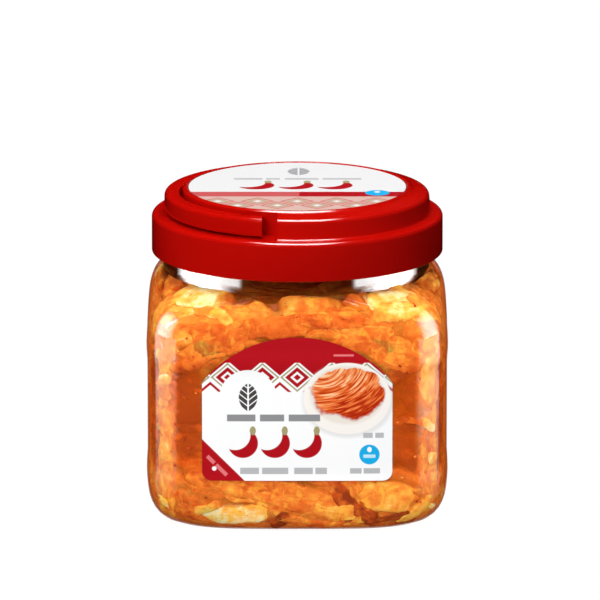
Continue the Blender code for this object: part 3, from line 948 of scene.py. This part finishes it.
leaf_rows = (9, 26, 44, 61, 77, 89, 98)
leaf_places = scatter(leaf_rows, 13, 0.4, (0.0, 1.8), (26, 42), (15, 26))
shown_leaves = [
    (-50.0, 97.0, 0.05, -0.5, 1.4, 34, 12),
    (-36.0, 94.5, -0.25, -0.5, 1.1, 22, 7),
    (46.0, 95.0, -0.05, -0.5, 1.3, 38, 10),
    (52.0, 99.0, 0.0, -0.5, 1.1, 28, 9),
    (-10.0, 89.0, 0.05, -0.3, 0.1, 34, 13),
    (14.0, 92.0, -0.06, -0.3, 0.1, 34, 12),
    (27.0, 83.0, 0.0, -0.7, 0.5, 24, 13),
    (-32.0, 84.0, 0.2, -0.4, 0.3, 30, 16),
    (way_at(-54.0), 70.0, 1.5, -0.3, 1.0, 34, 12),
    (way_at(-54.0), 40.0, 1.5, -0.3, 0.8, 36, 12),
    (way_at(54.0), 70.0, 1.5, -0.3, 0.95, 34, 12),
    (way_at(54.0), 40.0, 1.5, -0.3, 0.75, 36, 12),
    (way_at(-54.0), 18.0, 1.4, -0.3, 0.65, 26, 12),
    (way_at(54.0), 20.0, 1.7, -0.3, 0.6, 26, 12),
    (-12.0, 18.5, -0.26, -0.5, 0.85, 40, 11),
    (10.0, 13.0, -0.2, -0.5, 0.8, 32, 10),
    (4.0, 19.5, -0.2, -0.4, 0.7, 34, 10),
    (-60.0, 93.0, 0.2, -0.4, 0.9, 26, 12),
    (60.0, 92.0, -0.2, -0.4, 0.9, 26, 12),
    (40.0, 76.0, -0.3, -0.2, 0.7, 26, 14),
    (-40.0, 76.0, 0.3, -0.2, 0.6, 26, 12),
]
leaf_pressed = np.where(leaf_form[:, 2] > 0, 0.0, 0.6)
laid_leaves = lay_many(leaf_shape, leaf_places, leaf_pressed)
laid_leaves += lay_many(leaf_shape, shown_leaves, leaf_pressed, standoff=0.1, first=207)
leaves = join_cuts("leaf_cuts", leaf, laid_leaves, leaf_finish)

# %% [markdown]
# ## Kimchi: shreds
#
# Between the larger cuts lie narrow strips of leaf, radish and spring onion. They run mostly level,
# because the pack was pressed down from above, and give the heap its fine streaky look.

# %% Lay the shreds
shred, shred_form = leaf_grid(26, 6)


def shred_shape(length, width, seed):
    return crinkle(shred_form, length, width, seed + 300, 0.9, 4.0)


shred_rows = (6, 15, 24, 33, 42, 51, 60, 68, 76, 84, 91, 97)
shred_places = scatter(shred_rows, 13, 0.3, (-0.4, 1.4), (18, 38), (3.5, 8.0))
shown_shreds = [
    (-12.0, 20.0, -0.26, -1.0, 0.65, 58, 8.0),
    (-4.0, 14.5, -0.26, -0.9, 0.60, 50, 7.0),
    (-26.0, 24.5, -0.2, -0.7, 0.50, 40, 7.0),
    (6.0, 8.0, -0.2, -0.8, 0.40, 34, 6.0),
    # The five shreds below get the darkest tones: painted shade, dark pieces set where the gaps
    # between cuts lie in shadow.
    (21.0, 17.0, -0.95, -1.1, -0.55, 24, 9.0),
    (28.0, 9.0, -0.75, -1.1, -0.65, 22, 8.0),
    (38.0, 8.0, 0.05, -1.3, -0.8, 26, 6.5),
    (45.0, 4.0, 0.1, -1.2, -0.6, 24, 6.0),
    (-9.0, 7.0, 0.7, -1.0, -0.6, 12, 7.0),
]
shred_pressed = np.where(shred_form[:, 2] > 0, 0.0, 0.6)
laid_shreds = lay_many(shred_shape, shred_places, shred_pressed)
laid_shreds += lay_many(shred_shape, shown_shreds, shred_pressed, standoff=0.0, first=311)
shreds = join_cuts("shreds", shred, laid_shreds, leaf_finish)

# %% [markdown]
# ## Kimchi: chilli flakes
#
# Coarse chilli flakes float in the brine and stick to the cuts. Each is a small flat chip with
# six corners, a circle that was filled and extruded, and gets its own stretch, turn and depth.

# %% Scatter the chilli flakes
flake = add_primitive("circle", vertices=6, radius=1.0, fill_type="NGON")
edit(flake)
extrude_up(1)
leave_edit()
flake_form = points_of(flake)


def flake_shape(length, width, seed):
    bent = 1 + 0.35 * np.sin(np.arctan2(flake_form[:, 1], flake_form[:, 0]) * 2 + seed)
    shape = flake_form * np.array([length / 2, width / 2, -0.16])
    shape[:, :2] *= bent[:, None]
    return shape


flake_places = []
for _ in range(800):
    size = rng.uniform(0.5, 1.5)
    place = (rng.uniform(0, GIRTH), rng.uniform(-5, CLIMB_END - 2), rng.uniform(0, pi))
    flake_places.append((*place, rng.uniform(0.05, 0.9), rng.random(), size, size * 0.7))
flake_finish = Finish("chilli_flake", Roughness=0.4)
flake_finish.set("Specular IOR Level", 0.3)
flake_colours = (
    (0.0, (0.30, 0.014, 0.003)),
    (0.7, (0.60, 0.055, 0.005)),
    (1.0, (0.85, 0.350, 0.050)),
)
hue = flake_finish.add("ShaderNodeAttribute", {"attribute_name": "tone"}, {}, "Fac")
flake_finish.set("Base Color", flake_finish.ramp(hue, *flake_colours))
laid_flakes = lay_many(flake_shape, flake_places, standoff=0.0)
flakes = join_cuts("chilli_flakes", flake, laid_flakes, flake_finish)

# %% [markdown]
# ## Kimchi: the top of the heap
#
# Through the clear neck the uppermost cuts show, lying flat in the shade of the lid. They are
# leaf cuts again, laid level instead of against the wall.

# %% Lay leaves on top
top_leaf, top_form = leaf_grid(24, 20)
top_shapes = []
for number in range(26):
    reach = min(52.0 * sqrt((number + 0.5) / 26), 40.0)
    angle = number * 2.4
    length, width = 34 * rng.uniform(0.8, 1.1), 24 * rng.uniform(0.8, 1.1)
    shape = crinkle(top_form, length, width, number + 200.5, 0.9, 0.0)
    turn = angle + pi / 2 + rng.uniform(-0.4, 0.4)
    x = shape[:, 0] * cos(turn) - shape[:, 1] * sin(turn) + reach * cos(angle)
    y = shape[:, 0] * sin(turn) + shape[:, 1] * cos(turn) + reach * sin(angle)
    hold = np.minimum(1.0, (NECK_RADIUS - 2.5) / np.maximum(np.hypot(x, y), 1e-6))
    z = 91.5 + rng.uniform(-1.2, 1.4) - shape[:, 2] * 0.75
    laid = np.stack([x * hold, y * hold, z], axis=-1)
    top_shapes.append((laid, np.full(len(z), 2.0), rng.random(), shape))
top_leaves = join_cuts("top_leaves", top_leaf, top_shapes, leaf_finish)

# %% [markdown]
# ## Brine
#
# Cloudy orange brine fills what the cuts leave free. It is laid in three thin, half clear skins
# behind the wall: a cut that is pressed against the wall pokes through them and shows clean, and
# the hollows between the cuts lie behind all three and turn soft and deep orange. A fourth skin,
# close behind the wall, shows only where it is seen edge on, where one looks through most brine.

# %% Pour the brine
BRINE_LEVEL = CLIMB_END - 6.0


def brine_skin(name, depth, opacity, colour, light_colour, rim=False):
    climbs = np.concatenate([np.linspace(-40, 0, 6), np.linspace(0, BRINE_LEVEL, 50)[1:]])
    levels = [(climb, depth) for climb in climbs] + [(BRINE_LEVEL + 1, depth + 9.0)]

    def lay(values, angles):
        return wall_points(angles, np.minimum(values[:, 0], BRINE_LEVEL), values[:, 1])

    skin = grow(levels, lay, 128)
    face_out(skin)
    finish = Finish(name, Roughness=0.5)
    finish.set("Specular IOR Level", 0.0)
    cloud = finish.clouds(70.0, detail=4.0, roughness=0.6, distortion=0.4)
    tint = finish.ramp(cloud, (0.35, colour), (0.7, light_colour))
    # Painted shade: the brine is redder in the columns beside the corners.
    finish.set("Base Color", finish.blend(painted_shade_columns(finish), tint, BRINE_IN_COLUMN_SHADE))
    if rim:
        facing = finish.add("ShaderNodeLayerWeight", {}, {"Blend": 0.5}, "Facing")
        finish.set("Alpha", (facing**5.0 * 1.3).held())
    else:
        finish.set("Alpha", ((cloud - 0.5) * 0.9 + opacity).held())
    skin.visible_shadow = False
    return hand_over(skin, name, finish)


brine = [
    brine_skin("brine_rim", 0.3, 0.0, (0.52, 0.10, 0.016), (0.62, 0.15, 0.024), rim=True),
    brine_skin("brine_front", 0.9, 0.26, (0.80, 0.20, 0.018), (0.88, 0.34, 0.06)),
    brine_skin("brine_middle", 1.8, 0.32, (0.76, 0.17, 0.014), (0.88, 0.30, 0.04)),
    brine_skin("brine_deep", 3.0, 0.75, (0.68, 0.105, 0.008), (0.84, 0.21, 0.020)),
]
jar_food = [core, stems, leaves, shreds, flakes, top_leaves] + brine

# %% [markdown]
# ## Labels
#
# Both labels are printed film. The front one follows the wall under a round arch, so it is a grid
# that is shaped to the label's outline and laid just outside the wall. Its print is made of plain
# fields, drawn by sums on the label's own millimetres: each is a mask of 0 and 1 that lays one
# ink over what was printed before it.

# %% Lay the front label
LABEL_HALF_WIDTH = 37.8
LABEL_BOTTOM = 22.3
LABEL_TOP = 80.8
ARCH_RISE = 18.5
LABEL_CORNER = 3.8
LABEL_GAP = 0.24
LABEL_THICKNESS = 0.3
ARCH_RADIUS = (LABEL_HALF_WIDTH**2 + ARCH_RISE**2) / (2 * ARCH_RISE)


def climb_at(z):
    """The climb that reaches this height on the side or the shoulder."""
    climbs = np.linspace(0, CLIMB_END, 3000)
    heights = wall_points(0.0, climbs, 0.0)[:, 2]
    return np.interp(z, heights, climbs)


front_label = add_primitive("grid", x_subdivisions=90, y_subdivisions=60, size=2)
u, v, _ = points_of(front_label).T
label_x = LABEL_HALF_WIDTH * np.sin(u * pi / 2)
into_corner = np.maximum(np.abs(label_x) - (LABEL_HALF_WIDTH - LABEL_CORNER), 0)
low = LABEL_BOTTOM + LABEL_CORNER - np.sqrt(LABEL_CORNER**2 - into_corner**2)
high = LABEL_TOP - ARCH_RADIUS + np.sqrt(ARCH_RADIUS**2 - label_x**2)
label_z = low + (high - low) * (v + 1) / 2
front_depth = (HALF_WIDTH**PLAN_POWER - np.abs(label_x) ** PLAN_POWER) ** (1 / PLAN_POWER)
label_points = wall_points(np.arctan2(-front_depth, label_x), climb_at(label_z), 0.0)
label_points[:, 1] -= LABEL_GAP + LABEL_THICKNESS
move_points(front_label, label_points * MM)
finish_modifier(front_label, "SOLIDIFY", thickness=LABEL_THICKNESS * MM, offset=-1.0)

CRIMSON = (0.375, 0.005, 0.010)
PINK = (0.66, 0.16, 0.17)
SHADED_PAPER = (0.76, 0.76, 0.76)
BRIGHT_PAPER = (0.825, 0.825, 0.83)
OLIVE = (0.33, 0.29, 0.14)
INK = (0.055, 0.050, 0.050)
GREY = (0.24, 0.24, 0.25)
PALE_GREY = (0.42, 0.42, 0.43)
BLUE = (0.008, 0.36, 0.68)


class Print(Finish):
    """Printed film: inks are laid over each other, each where its mask is 1."""

    def __init__(self, name):
        super().__init__(name, Roughness=0.3)
        self.set("Specular IOR Level", 0.1)
        self.bump(self.clouds(900.0, detail=2.0), 0.00003, 0.3)

    def ink(self, mask, colour):
        self.colour = self.blend(mask, self.colour, colour)
        self.set("Base Color", self.colour)

    def fold(self, value, width):
        """Runs from 0 to the width and back, over and over."""
        return self.add("ShaderNodeMath", {"operation": "PINGPONG"}, {0: value, 1: width})


def between(value, low, high, soft=0.12):
    """1 between two values and 0 outside."""
    return value.edge(low, soft) * (1 - value.edge(high, soft))


def bar(x, z, left, right, low, high):
    return between(x, left, right) * between(z, low, high)


def disc(x, z, across, up, radius_x, radius_z, soft=0.04, uneven=0.0):
    far = (((x - across) / radius_x) ** 2.0 + ((z - up) / radius_z) ** 2.0) ** 0.5
    return 1 - (far + uneven).edge(1.0, soft)


def row_of_bars(x, z, spans, low, high):
    """Short bars side by side, each from one x to another."""
    row = between(x, *spans[0])
    for span in spans[1:]:
        row = row.most(between(x, *span))
    return row * between(z, low, high)


def diamonds(film, x, z, period, height, middle):
    """How far outwards in a row of nested diamonds a point lies: 0 in the middle, 1 at the edge."""
    across = film.fold(x + 20 * period, period / 2)
    return across / (period / 2) + (z - middle).size() / (height / 2)


def print_pods(film, x, z, places, up, size):
    """Chilli pods in a row. Each is a disc less another disc beside it, and has a stalk."""
    for across in places:
        body = disc(x, z, across, up, size, size)
        bite = disc(x, z, across - size * 0.52, up + size * 0.56, size * 1.02, size * 1.02)
        film.ink(body * (1 - bite), CRIMSON)
        film.ink(disc(x, z, across + size * 0.66, up + size * 0.86, size * 0.2, size * 0.3), OLIVE)


def leaf_mark(film, x, z, across, up, size):
    """A plain leaf: where two discs overlap, less its midrib and side veins."""
    u, v = x - across, z - up
    left = disc(u, v, size * -0.42, 0.0, size, size)
    right = disc(u, v, size * 0.42, 0.0, size, size)
    rib = 1 - u.size().edge(size * 0.05, 0.12)
    slant = v - u.size() * 0.8 + 4 * size
    side_veins = 1 - film.fold(slant, size * 0.19).edge(size * 0.04, 0.12)
    return left * right * (1 - rib.most(side_veins))


# %% [markdown]
# ## The front label's print
#
# White paper shows below and crimson ink above, and between them runs a band of nested diamonds
# in crimson and olive, a common woven pattern. Each diamond is the sum of the distances across
# and up from its middle, so rings of it are rings of that sum.

# %% Print the ground and the band
front_print = Print("front_label_print")
x, y, z = front_print.place()
far = diamonds(front_print, x, z, 13.8, 12.2, 64.6)
# Painted shade: the paper ground is a little darker towards the label's bottom; below the band it is
# later inked over with bright paper.
front_print.colour = front_print.ramp((z - 22) / 60, (0.0, SHADED_PAPER), (0.5, BRIGHT_PAPER))
front_print.ink(between(far, 0.84, 0.98, 0.05), OLIVE)
band = between(far, 0.40, 0.70, 0.05).most(1 - far.edge(0.22, 0.05))
band = band.most(far.edge(1.12, 0.05) * z.edge(64.6, 0.1))
band = band.most(between(far, 1.30, 1.52, 0.05) * z.edge(58.6, 0.1))
front_print.ink(band, CRIMSON)
front_print.ink(1 - z.edge(57.8, 0.1), BRIGHT_PAPER)
front_print.ink(disc(x, z, -19.5, 56.2, 11.4, 11.4, 0.02), BRIGHT_PAPER)
front_print.ink(z.edge(70.6, 0.12), CRIMSON)
front_print.ink(bar(x, z, 14.4, 22.4, 73.2, 74.0), PINK)

# %% [markdown]
# ## The plate on the front label
#
# A white plate carries a heap of shreds and throws a soft shadow on the paper. All of it is drawn:
# plate and shadow are three discs, the heap is two discs with a ragged edge, and its shreds are
# noise that is combed along flattened circles round a point above the plate.

# %% Print the plate
HEAP_X, HEAP_Z = 20.3, 58.6
SHREDS = (
    (0.36, (0.36, 0.016, 0.003)),
    (0.47, (0.62, 0.085, 0.012)),
    (0.56, (0.78, 0.220, 0.060)),
    (0.70, (0.88, 0.560, 0.320)),
)
shadow = disc(x, z, 20.2, 55.2, 18.4, 15.4, 0.10)
front_print.ink(shadow * 0.35 * (1 - z.edge(70.4, 0.12)), (0.45, 0.43, 0.42))
front_print.ink(disc(x, z, 19.8, 56.0, 17.4, 14.6, 0.02), (0.80, 0.765, 0.72))
front_print.ink(disc(x, z, 19.8, 57.4, 14.8, 12.0, 0.10) * 0.6, (0.66, 0.58, 0.50))
sweep = ((x - 9.0) ** 2.0 + ((z - 71.0) / 0.8) ** 2.0) ** 0.5
combed = front_print.add("ShaderNodeCombineXYZ", {}, {0: sweep * 0.95, 1: (x + z) * 0.09})
strands = front_print.clouds(1.0, detail=3.0, vector=combed, distortion=0.5)
ragged = (front_print.clouds(150.0, detail=4.0) - 0.5) * 0.6
front_print.ink(disc(x, z, HEAP_X, 57.9, 14.2, 10.3, 0.10, ragged) * 0.8, (0.45, 0.02, 0.005))
lit = strands + (z - HEAP_Z) * 0.010 - (x - HEAP_X) * 0.004
heap = disc(x, z, HEAP_X, HEAP_Z, 13.9, 10.3, 0.04, ragged)
front_print.ink(heap, front_print.ramp(lit, *SHREDS))

# %% [markdown]
# ## Marks on the front label
#
# A veined leaf, three chilli pods, rows of short bars, a blue disc and a crimson corner fill the
# rest. They are made of overlapping discs and bands.

# %% Print the marks
front_print.ink(leaf_mark(front_print, x, z, -19.5, 56.4, 6.4), INK)
print_pods(front_print, x, z, (-21.6, -8.9, 3.8), 37.6, 6.0)
for ink, low, high, spans in (
    (GREY, 46.6, 49.4, ((-27.9, -16.6), (-14.8, -5.2), (-3.4, 9.1))),
    (PALE_GREY, 25.0, 27.6, ((-22.7, -15.2), (-14.0, -3.6), (-1.2, 6.2), (7.2, 11.8))),
    (PALE_GREY, 39.8, 41.9, ((26.2, 30.0), (31.0, 34.4))),
    (PALE_GREY, 25.2, 27.4, ((21.0, 25.6), (26.4, 32.9))),
):
    front_print.ink(row_of_bars(x, z, spans, low, high), ink)
along, beside = x - z, x + z
front_print.ink(1 - beside.edge(1.4, 0.2), CRIMSON)
front_print.ink(row_of_bars(along, beside, ((-68.0, -62.4), (-61.0, -52.6)), -4.6, -2.4), PINK)
front_print.ink(disc(x, z, -33.0, 27.2, 0.9, 0.9, 0.2), BRIGHT_PAPER)
front_print.ink(disc(x, z, 28.7, 33.0, 4.05, 4.05, 0.05), BLUE)
front_print.ink(disc(x, z, 28.7, 35.0, 0.9, 1.1, 0.1), BRIGHT_PAPER)
front_print.ink(bar(x, z, 26.3, 31.1, 31.6, 33.0), (0.45, 0.68, 0.80))
front_label = hand_over(
    front_label, "front_label_film", front_print, replaces=["front_label"]
)

# %% [markdown]
# ## The lid
#
# The lid is turned: a smooth skirt, a ledge, an upper ring and a raised middle with a shallow
# recess for its label. Its section is drawn once and spun round the axis. The ring's left part is
# then cut away, because the folded handle lies there.

# %% Spin the lid
SKIRT_RADIUS = 58.4
SKIRT_BOTTOM = 102.7
SKIRT_INNER_RADIUS = 56.8
LEDGE_TOP = 118.6
LEDGE_CEILING = 116.5
RING_RADIUS = 53.4
RING_TOP = 127.0
DISC_RADIUS = 45.6
DISC_TOP = 128.8
RECESS_RADIUS = 44.1
RECESS_DEPTH = 0.8
INSIDE_RADIUS = 42.0
INSIDE_CEILING = 126.4
NOTCH_INNER_RADIUS = 46.0
NOTCH_OUTER_RADIUS = 60.0
NOTCH_TOP = 135.0
NOTCH_EDGE_X = -7.8


def bow(centre, radius, start, end, steps):
    turns = np.radians(np.linspace(start, end, steps + 1))
    return [(centre[0] + radius * np.cos(t), centre[1] + radius * np.sin(t)) for t in turns]


def spin(section, segments):
    """Turns a section, given as radius and height in millimetres, all the way round."""
    mesh = bpy.data.meshes.new("section")
    edges = [(i, i + 1) for i in range(len(section) - 1)]
    mesh.from_pydata([(radius * MM, 0, height * MM) for radius, height in section], edges, [])
    obj = bpy.data.objects.new("section", mesh)
    bpy.context.scene.collection.objects.link(obj)
    edit(obj)
    bpy.ops.mesh.spin(steps=segments, angle=tau, center=(0, 0, 0), axis=(0, 0, 1))
    leave_edit()
    face_out(obj)
    return obj


def cut_right_of(obj, x):
    """Cuts off everything to the right of x, and closes the cut."""
    edit(obj)
    bpy.ops.mesh.bisect(
        plane_co=(x * MM, 0, 0), plane_no=(1, 0, 0), clear_outer=True, use_fill=True
    )
    leave_edit()


lid_section = [(0.0, DISC_TOP - RECESS_DEPTH), (RECESS_RADIUS - 0.1, DISC_TOP - RECESS_DEPTH)]
lid_section += bow((RECESS_RADIUS + 0.35, DISC_TOP - 0.3), 0.3, 180, 90, 3)
lid_section += bow((DISC_RADIUS - 0.6, DISC_TOP - 0.6), 0.6, 90, 35, 4)
lid_section += [(46.4, RING_TOP + 0.9), (47.4, RING_TOP + 0.45)]
lid_section += bow((RING_RADIUS - 2.6, RING_TOP - 2.2), 2.2, 80, 4, 10)
lid_section += bow((RING_RADIUS + 0.9, LEDGE_TOP + 0.9), 0.9, 180, 270, 5)
lid_section += bow((SKIRT_RADIUS - 2.0, LEDGE_TOP - 2.0), 2.0, 90, 0, 9)
lid_section += [(SKIRT_RADIUS, 112.0)]
lid_section += bow((SKIRT_RADIUS - 0.6, SKIRT_BOTTOM + 0.6), 0.6, 0, -90, 5)
lid_section += [(SKIRT_INNER_RADIUS, SKIRT_BOTTOM), (SKIRT_INNER_RADIUS, LEDGE_CEILING)]
lid_section += [(INSIDE_RADIUS, LEDGE_CEILING), (INSIDE_RADIUS, INSIDE_CEILING)]
lid_section += [(0.0, INSIDE_CEILING)]
lid = spin(lid_section, 192)


def cut_away(obj, cutter):
    finish_modifier(obj, "BOOLEAN", operation="DIFFERENCE", solver="EXACT", object=cutter)
    bpy.data.objects.remove(cutter)


notch_section = [(NOTCH_INNER_RADIUS, LEDGE_TOP), (NOTCH_OUTER_RADIUS, LEDGE_TOP)]
notch_section += [(NOTCH_OUTER_RADIUS, NOTCH_TOP), (NOTCH_INNER_RADIUS, NOTCH_TOP)]
notch = spin(notch_section + notch_section[:1], 160)
cut_right_of(notch, NOTCH_EDGE_X)
face_out(notch)
cut_away(lid, notch)

# %% [markdown]
# ## Red plastic
#
# Lid and handle are the same moulded plastic: deep red, glossy, with the very slight waviness that
# keeps a moulded face's highlights from being perfectly straight.

# %% Mix the red plastic
red = Finish("red_plastic")
red.set("Specular IOR Level", 0.45)
depth_of_red = red.clouds(35.0, detail=2.0)
darker, lighter = (0.3, (0.47, 0.0022, 0.0006)), (0.7, (0.50, 0.0028, 0.0010))
red.set("Base Color", red.ramp(depth_of_red, darker, lighter))
scuffs = red.clouds(300.0, detail=4.0)
red.set("Roughness", 0.10 + scuffs * 0.06)
red.bump(red.clouds(60.0, detail=1.0), 0.0003, 0.25)
lid = hand_over(lid, "lid_shell", red, replaces=["lid"], smooth=radians(32))

# %% [markdown]
# ## The folding handle
#
# The handle is a flat bar bent round the lid. Its section is spun through the angle that it
# covers, its ends are cut square, and a thinner knuckle at each end carries the pin it turns on.

# %% Sweep the handle
HANDLE_OUTER_RADIUS = 53.3
HANDLE_INNER_RADIUS = 47.2
HANDLE_BOTTOM = 119.5
HANDLE_TOP = 127.0
HANDLE_END_X = -14.0
HINGE_X = -16.2
HINGE_Z = (HANDLE_BOTTOM + HANDLE_TOP) / 2
KNUCKLE_START_X = -22.4
KNUCKLE_FACE_Y = 44.8
PIN_RADIUS = 1.2
PIN_TIP_Y = 40.6
PIN_ROOT_Y = 47.0

handle_section = bow((HANDLE_OUTER_RADIUS - 0.9, HANDLE_BOTTOM + 0.9), 0.9, -90, 0, 4)
handle_section += bow((HANDLE_OUTER_RADIUS - 1.8, HANDLE_TOP - 1.8), 1.8, 0, 90, 6)
handle_section += bow((HANDLE_INNER_RADIUS + 0.9, HANDLE_TOP - 0.9), 0.9, 90, 180, 4)
handle_section += bow((HANDLE_INNER_RADIUS + 0.9, HANDLE_BOTTOM + 0.9), 0.9, 180, 270, 4)
handle = spin(handle_section + handle_section[:1], 192)
cut_right_of(handle, HANDLE_END_X)


def block(low, high):
    middle = (Vector(low) + Vector(high)) / 2 * MM
    return add_primitive("cube", size=1, location=middle, scale=(Vector(high) - Vector(low)) * MM)


cut_away(handle, block((KNUCKLE_START_X, -KNUCKLE_FACE_Y, 110), (10, KNUCKLE_FACE_Y, 140)))
for side in (-1, 1):
    pin = add_primitive(
        "cylinder",
        vertices=32,
        radius=PIN_RADIUS * MM,
        depth=(PIN_ROOT_Y - PIN_TIP_Y) * MM,
        location=Vector((HINGE_X, side * (PIN_ROOT_Y + PIN_TIP_Y) / 2, HINGE_Z)) * MM,
        rotation=(pi / 2, 0, 0),
    )
    finish_modifier(handle, "BOOLEAN", operation="UNION", solver="EXACT", object=pin)
    bpy.data.objects.remove(pin)
handle = hand_over(
    handle, "folding_handle", red, "handle", replaces=["handle"], smooth=radians(32)
)

# %% [markdown]
# ## The lid's label
#
# A round of printed film lies in the recess: a disc that is extruded upwards once. Its print is
# white at the back, with a crimson stripe and two rows of nested diamonds at the front. The
# stripe's left half is rose instead: a painted reflection of a lamp in the glossy film.

# %% Lay the lid's label
LID_LABEL_RADIUS = 43.6
LID_PAPER = (0.66, 0.66, 0.66)
OLIVE_LIGHT = (0.40, 0.31, 0.20)
ROSE = (0.50, 0.085, 0.090)
PALE_ROSE = (0.57, 0.38, 0.33)
lid_label = add_primitive(
    "circle", vertices=192, radius=LID_LABEL_RADIUS * MM, fill_type="NGON"
)
lid_label.location.z = (DISC_TOP - RECESS_DEPTH + LABEL_GAP) * MM
edit(lid_label)
extrude_up(LABEL_THICKNESS * MM)
leave_edit()
face_out(lid_label)

lid_print = Print("lid_label_print")
x, y, z = lid_print.place()
far = diamonds(lid_print, x, y, 15.8, 15.0, -26.5)
far = far.least(diamonds(lid_print, x + 7.9, y, 15.8, 15.0, -34.0))
lid_print.colour = PALE_ROSE
lid_print.ink(between(far, 0.36, 0.60, 0.05), OLIVE_LIGHT)
lid_print.ink(between(far, 0.72, 0.88, 0.05), ROSE)
lid_print.ink(1 - far.edge(0.22, 0.06), LID_PAPER)
# Painted reflection: the stripe is rose on its left half, as if a lamp showed in the film, and
# crimson on the right.
lid_print.ink(y.edge(-18.0, 0.12), ROSE)
lid_print.ink(y.edge(-18.0, 0.12) * x.edge(0.8, 0.12), CRIMSON)
lid_print.ink(y.edge(-9.6, 0.12), LID_PAPER)
lid_print.ink(leaf_mark(lid_print, x, y, 0.5, 27.6, 7.6), GREY)
spans = ((-25.4, -14.0), (-12.6, -7.0), (-5.0, 8.6), (10.2, 25.8))
lid_print.ink(row_of_bars(x, y, spans, 12.4, 15.4), PALE_GREY)
print_pods(lid_print, x, y, (-16.6, -0.9, 14.8), 2.2, 7.4)
lid_print.ink(disc(x, y, 32.0, -11.5, 4.9, 4.9), BLUE)
lid_print.ink(disc(x, y, 32.0, -9.8, 1.2, 1.5), LID_PAPER)
lid_label = hand_over(
    lid_label, "lid_label_film", lid_print, replaces=["lid_label"]
)

# %% [markdown]
# ## Who sees which lamp
#
# A studio shades each lamp off what it shouldn't touch, and light linking does the same here. The
# softboxes and panels shine on the clear wall alone, the brighter overhead one on the red plastic,
# the key, the back lamp and the wide overhead one on lid, handle and labels, and the fill lamps on
# the food or the labels. So the lid keeps its strong fall from light to shade.


# %% Link the lamps
def shine_on(lamps, pieces):
    seen = bpy.data.collections.new("lit_by_" + lamps[0].name)
    for piece in pieces:
        seen.objects.link(piece)
    for lamp in lamps:
        lamp.light_linking.receiver_collection = seen


shine_on(wall_lamps, [wall])
shine_on([lid_streak], [lid, handle])
shine_on([key, back, overhead], [lid, handle, front_label, lid_label])
shine_on([label_fill], [front_label, lid_label])
shine_on(food_fills, jar_food)
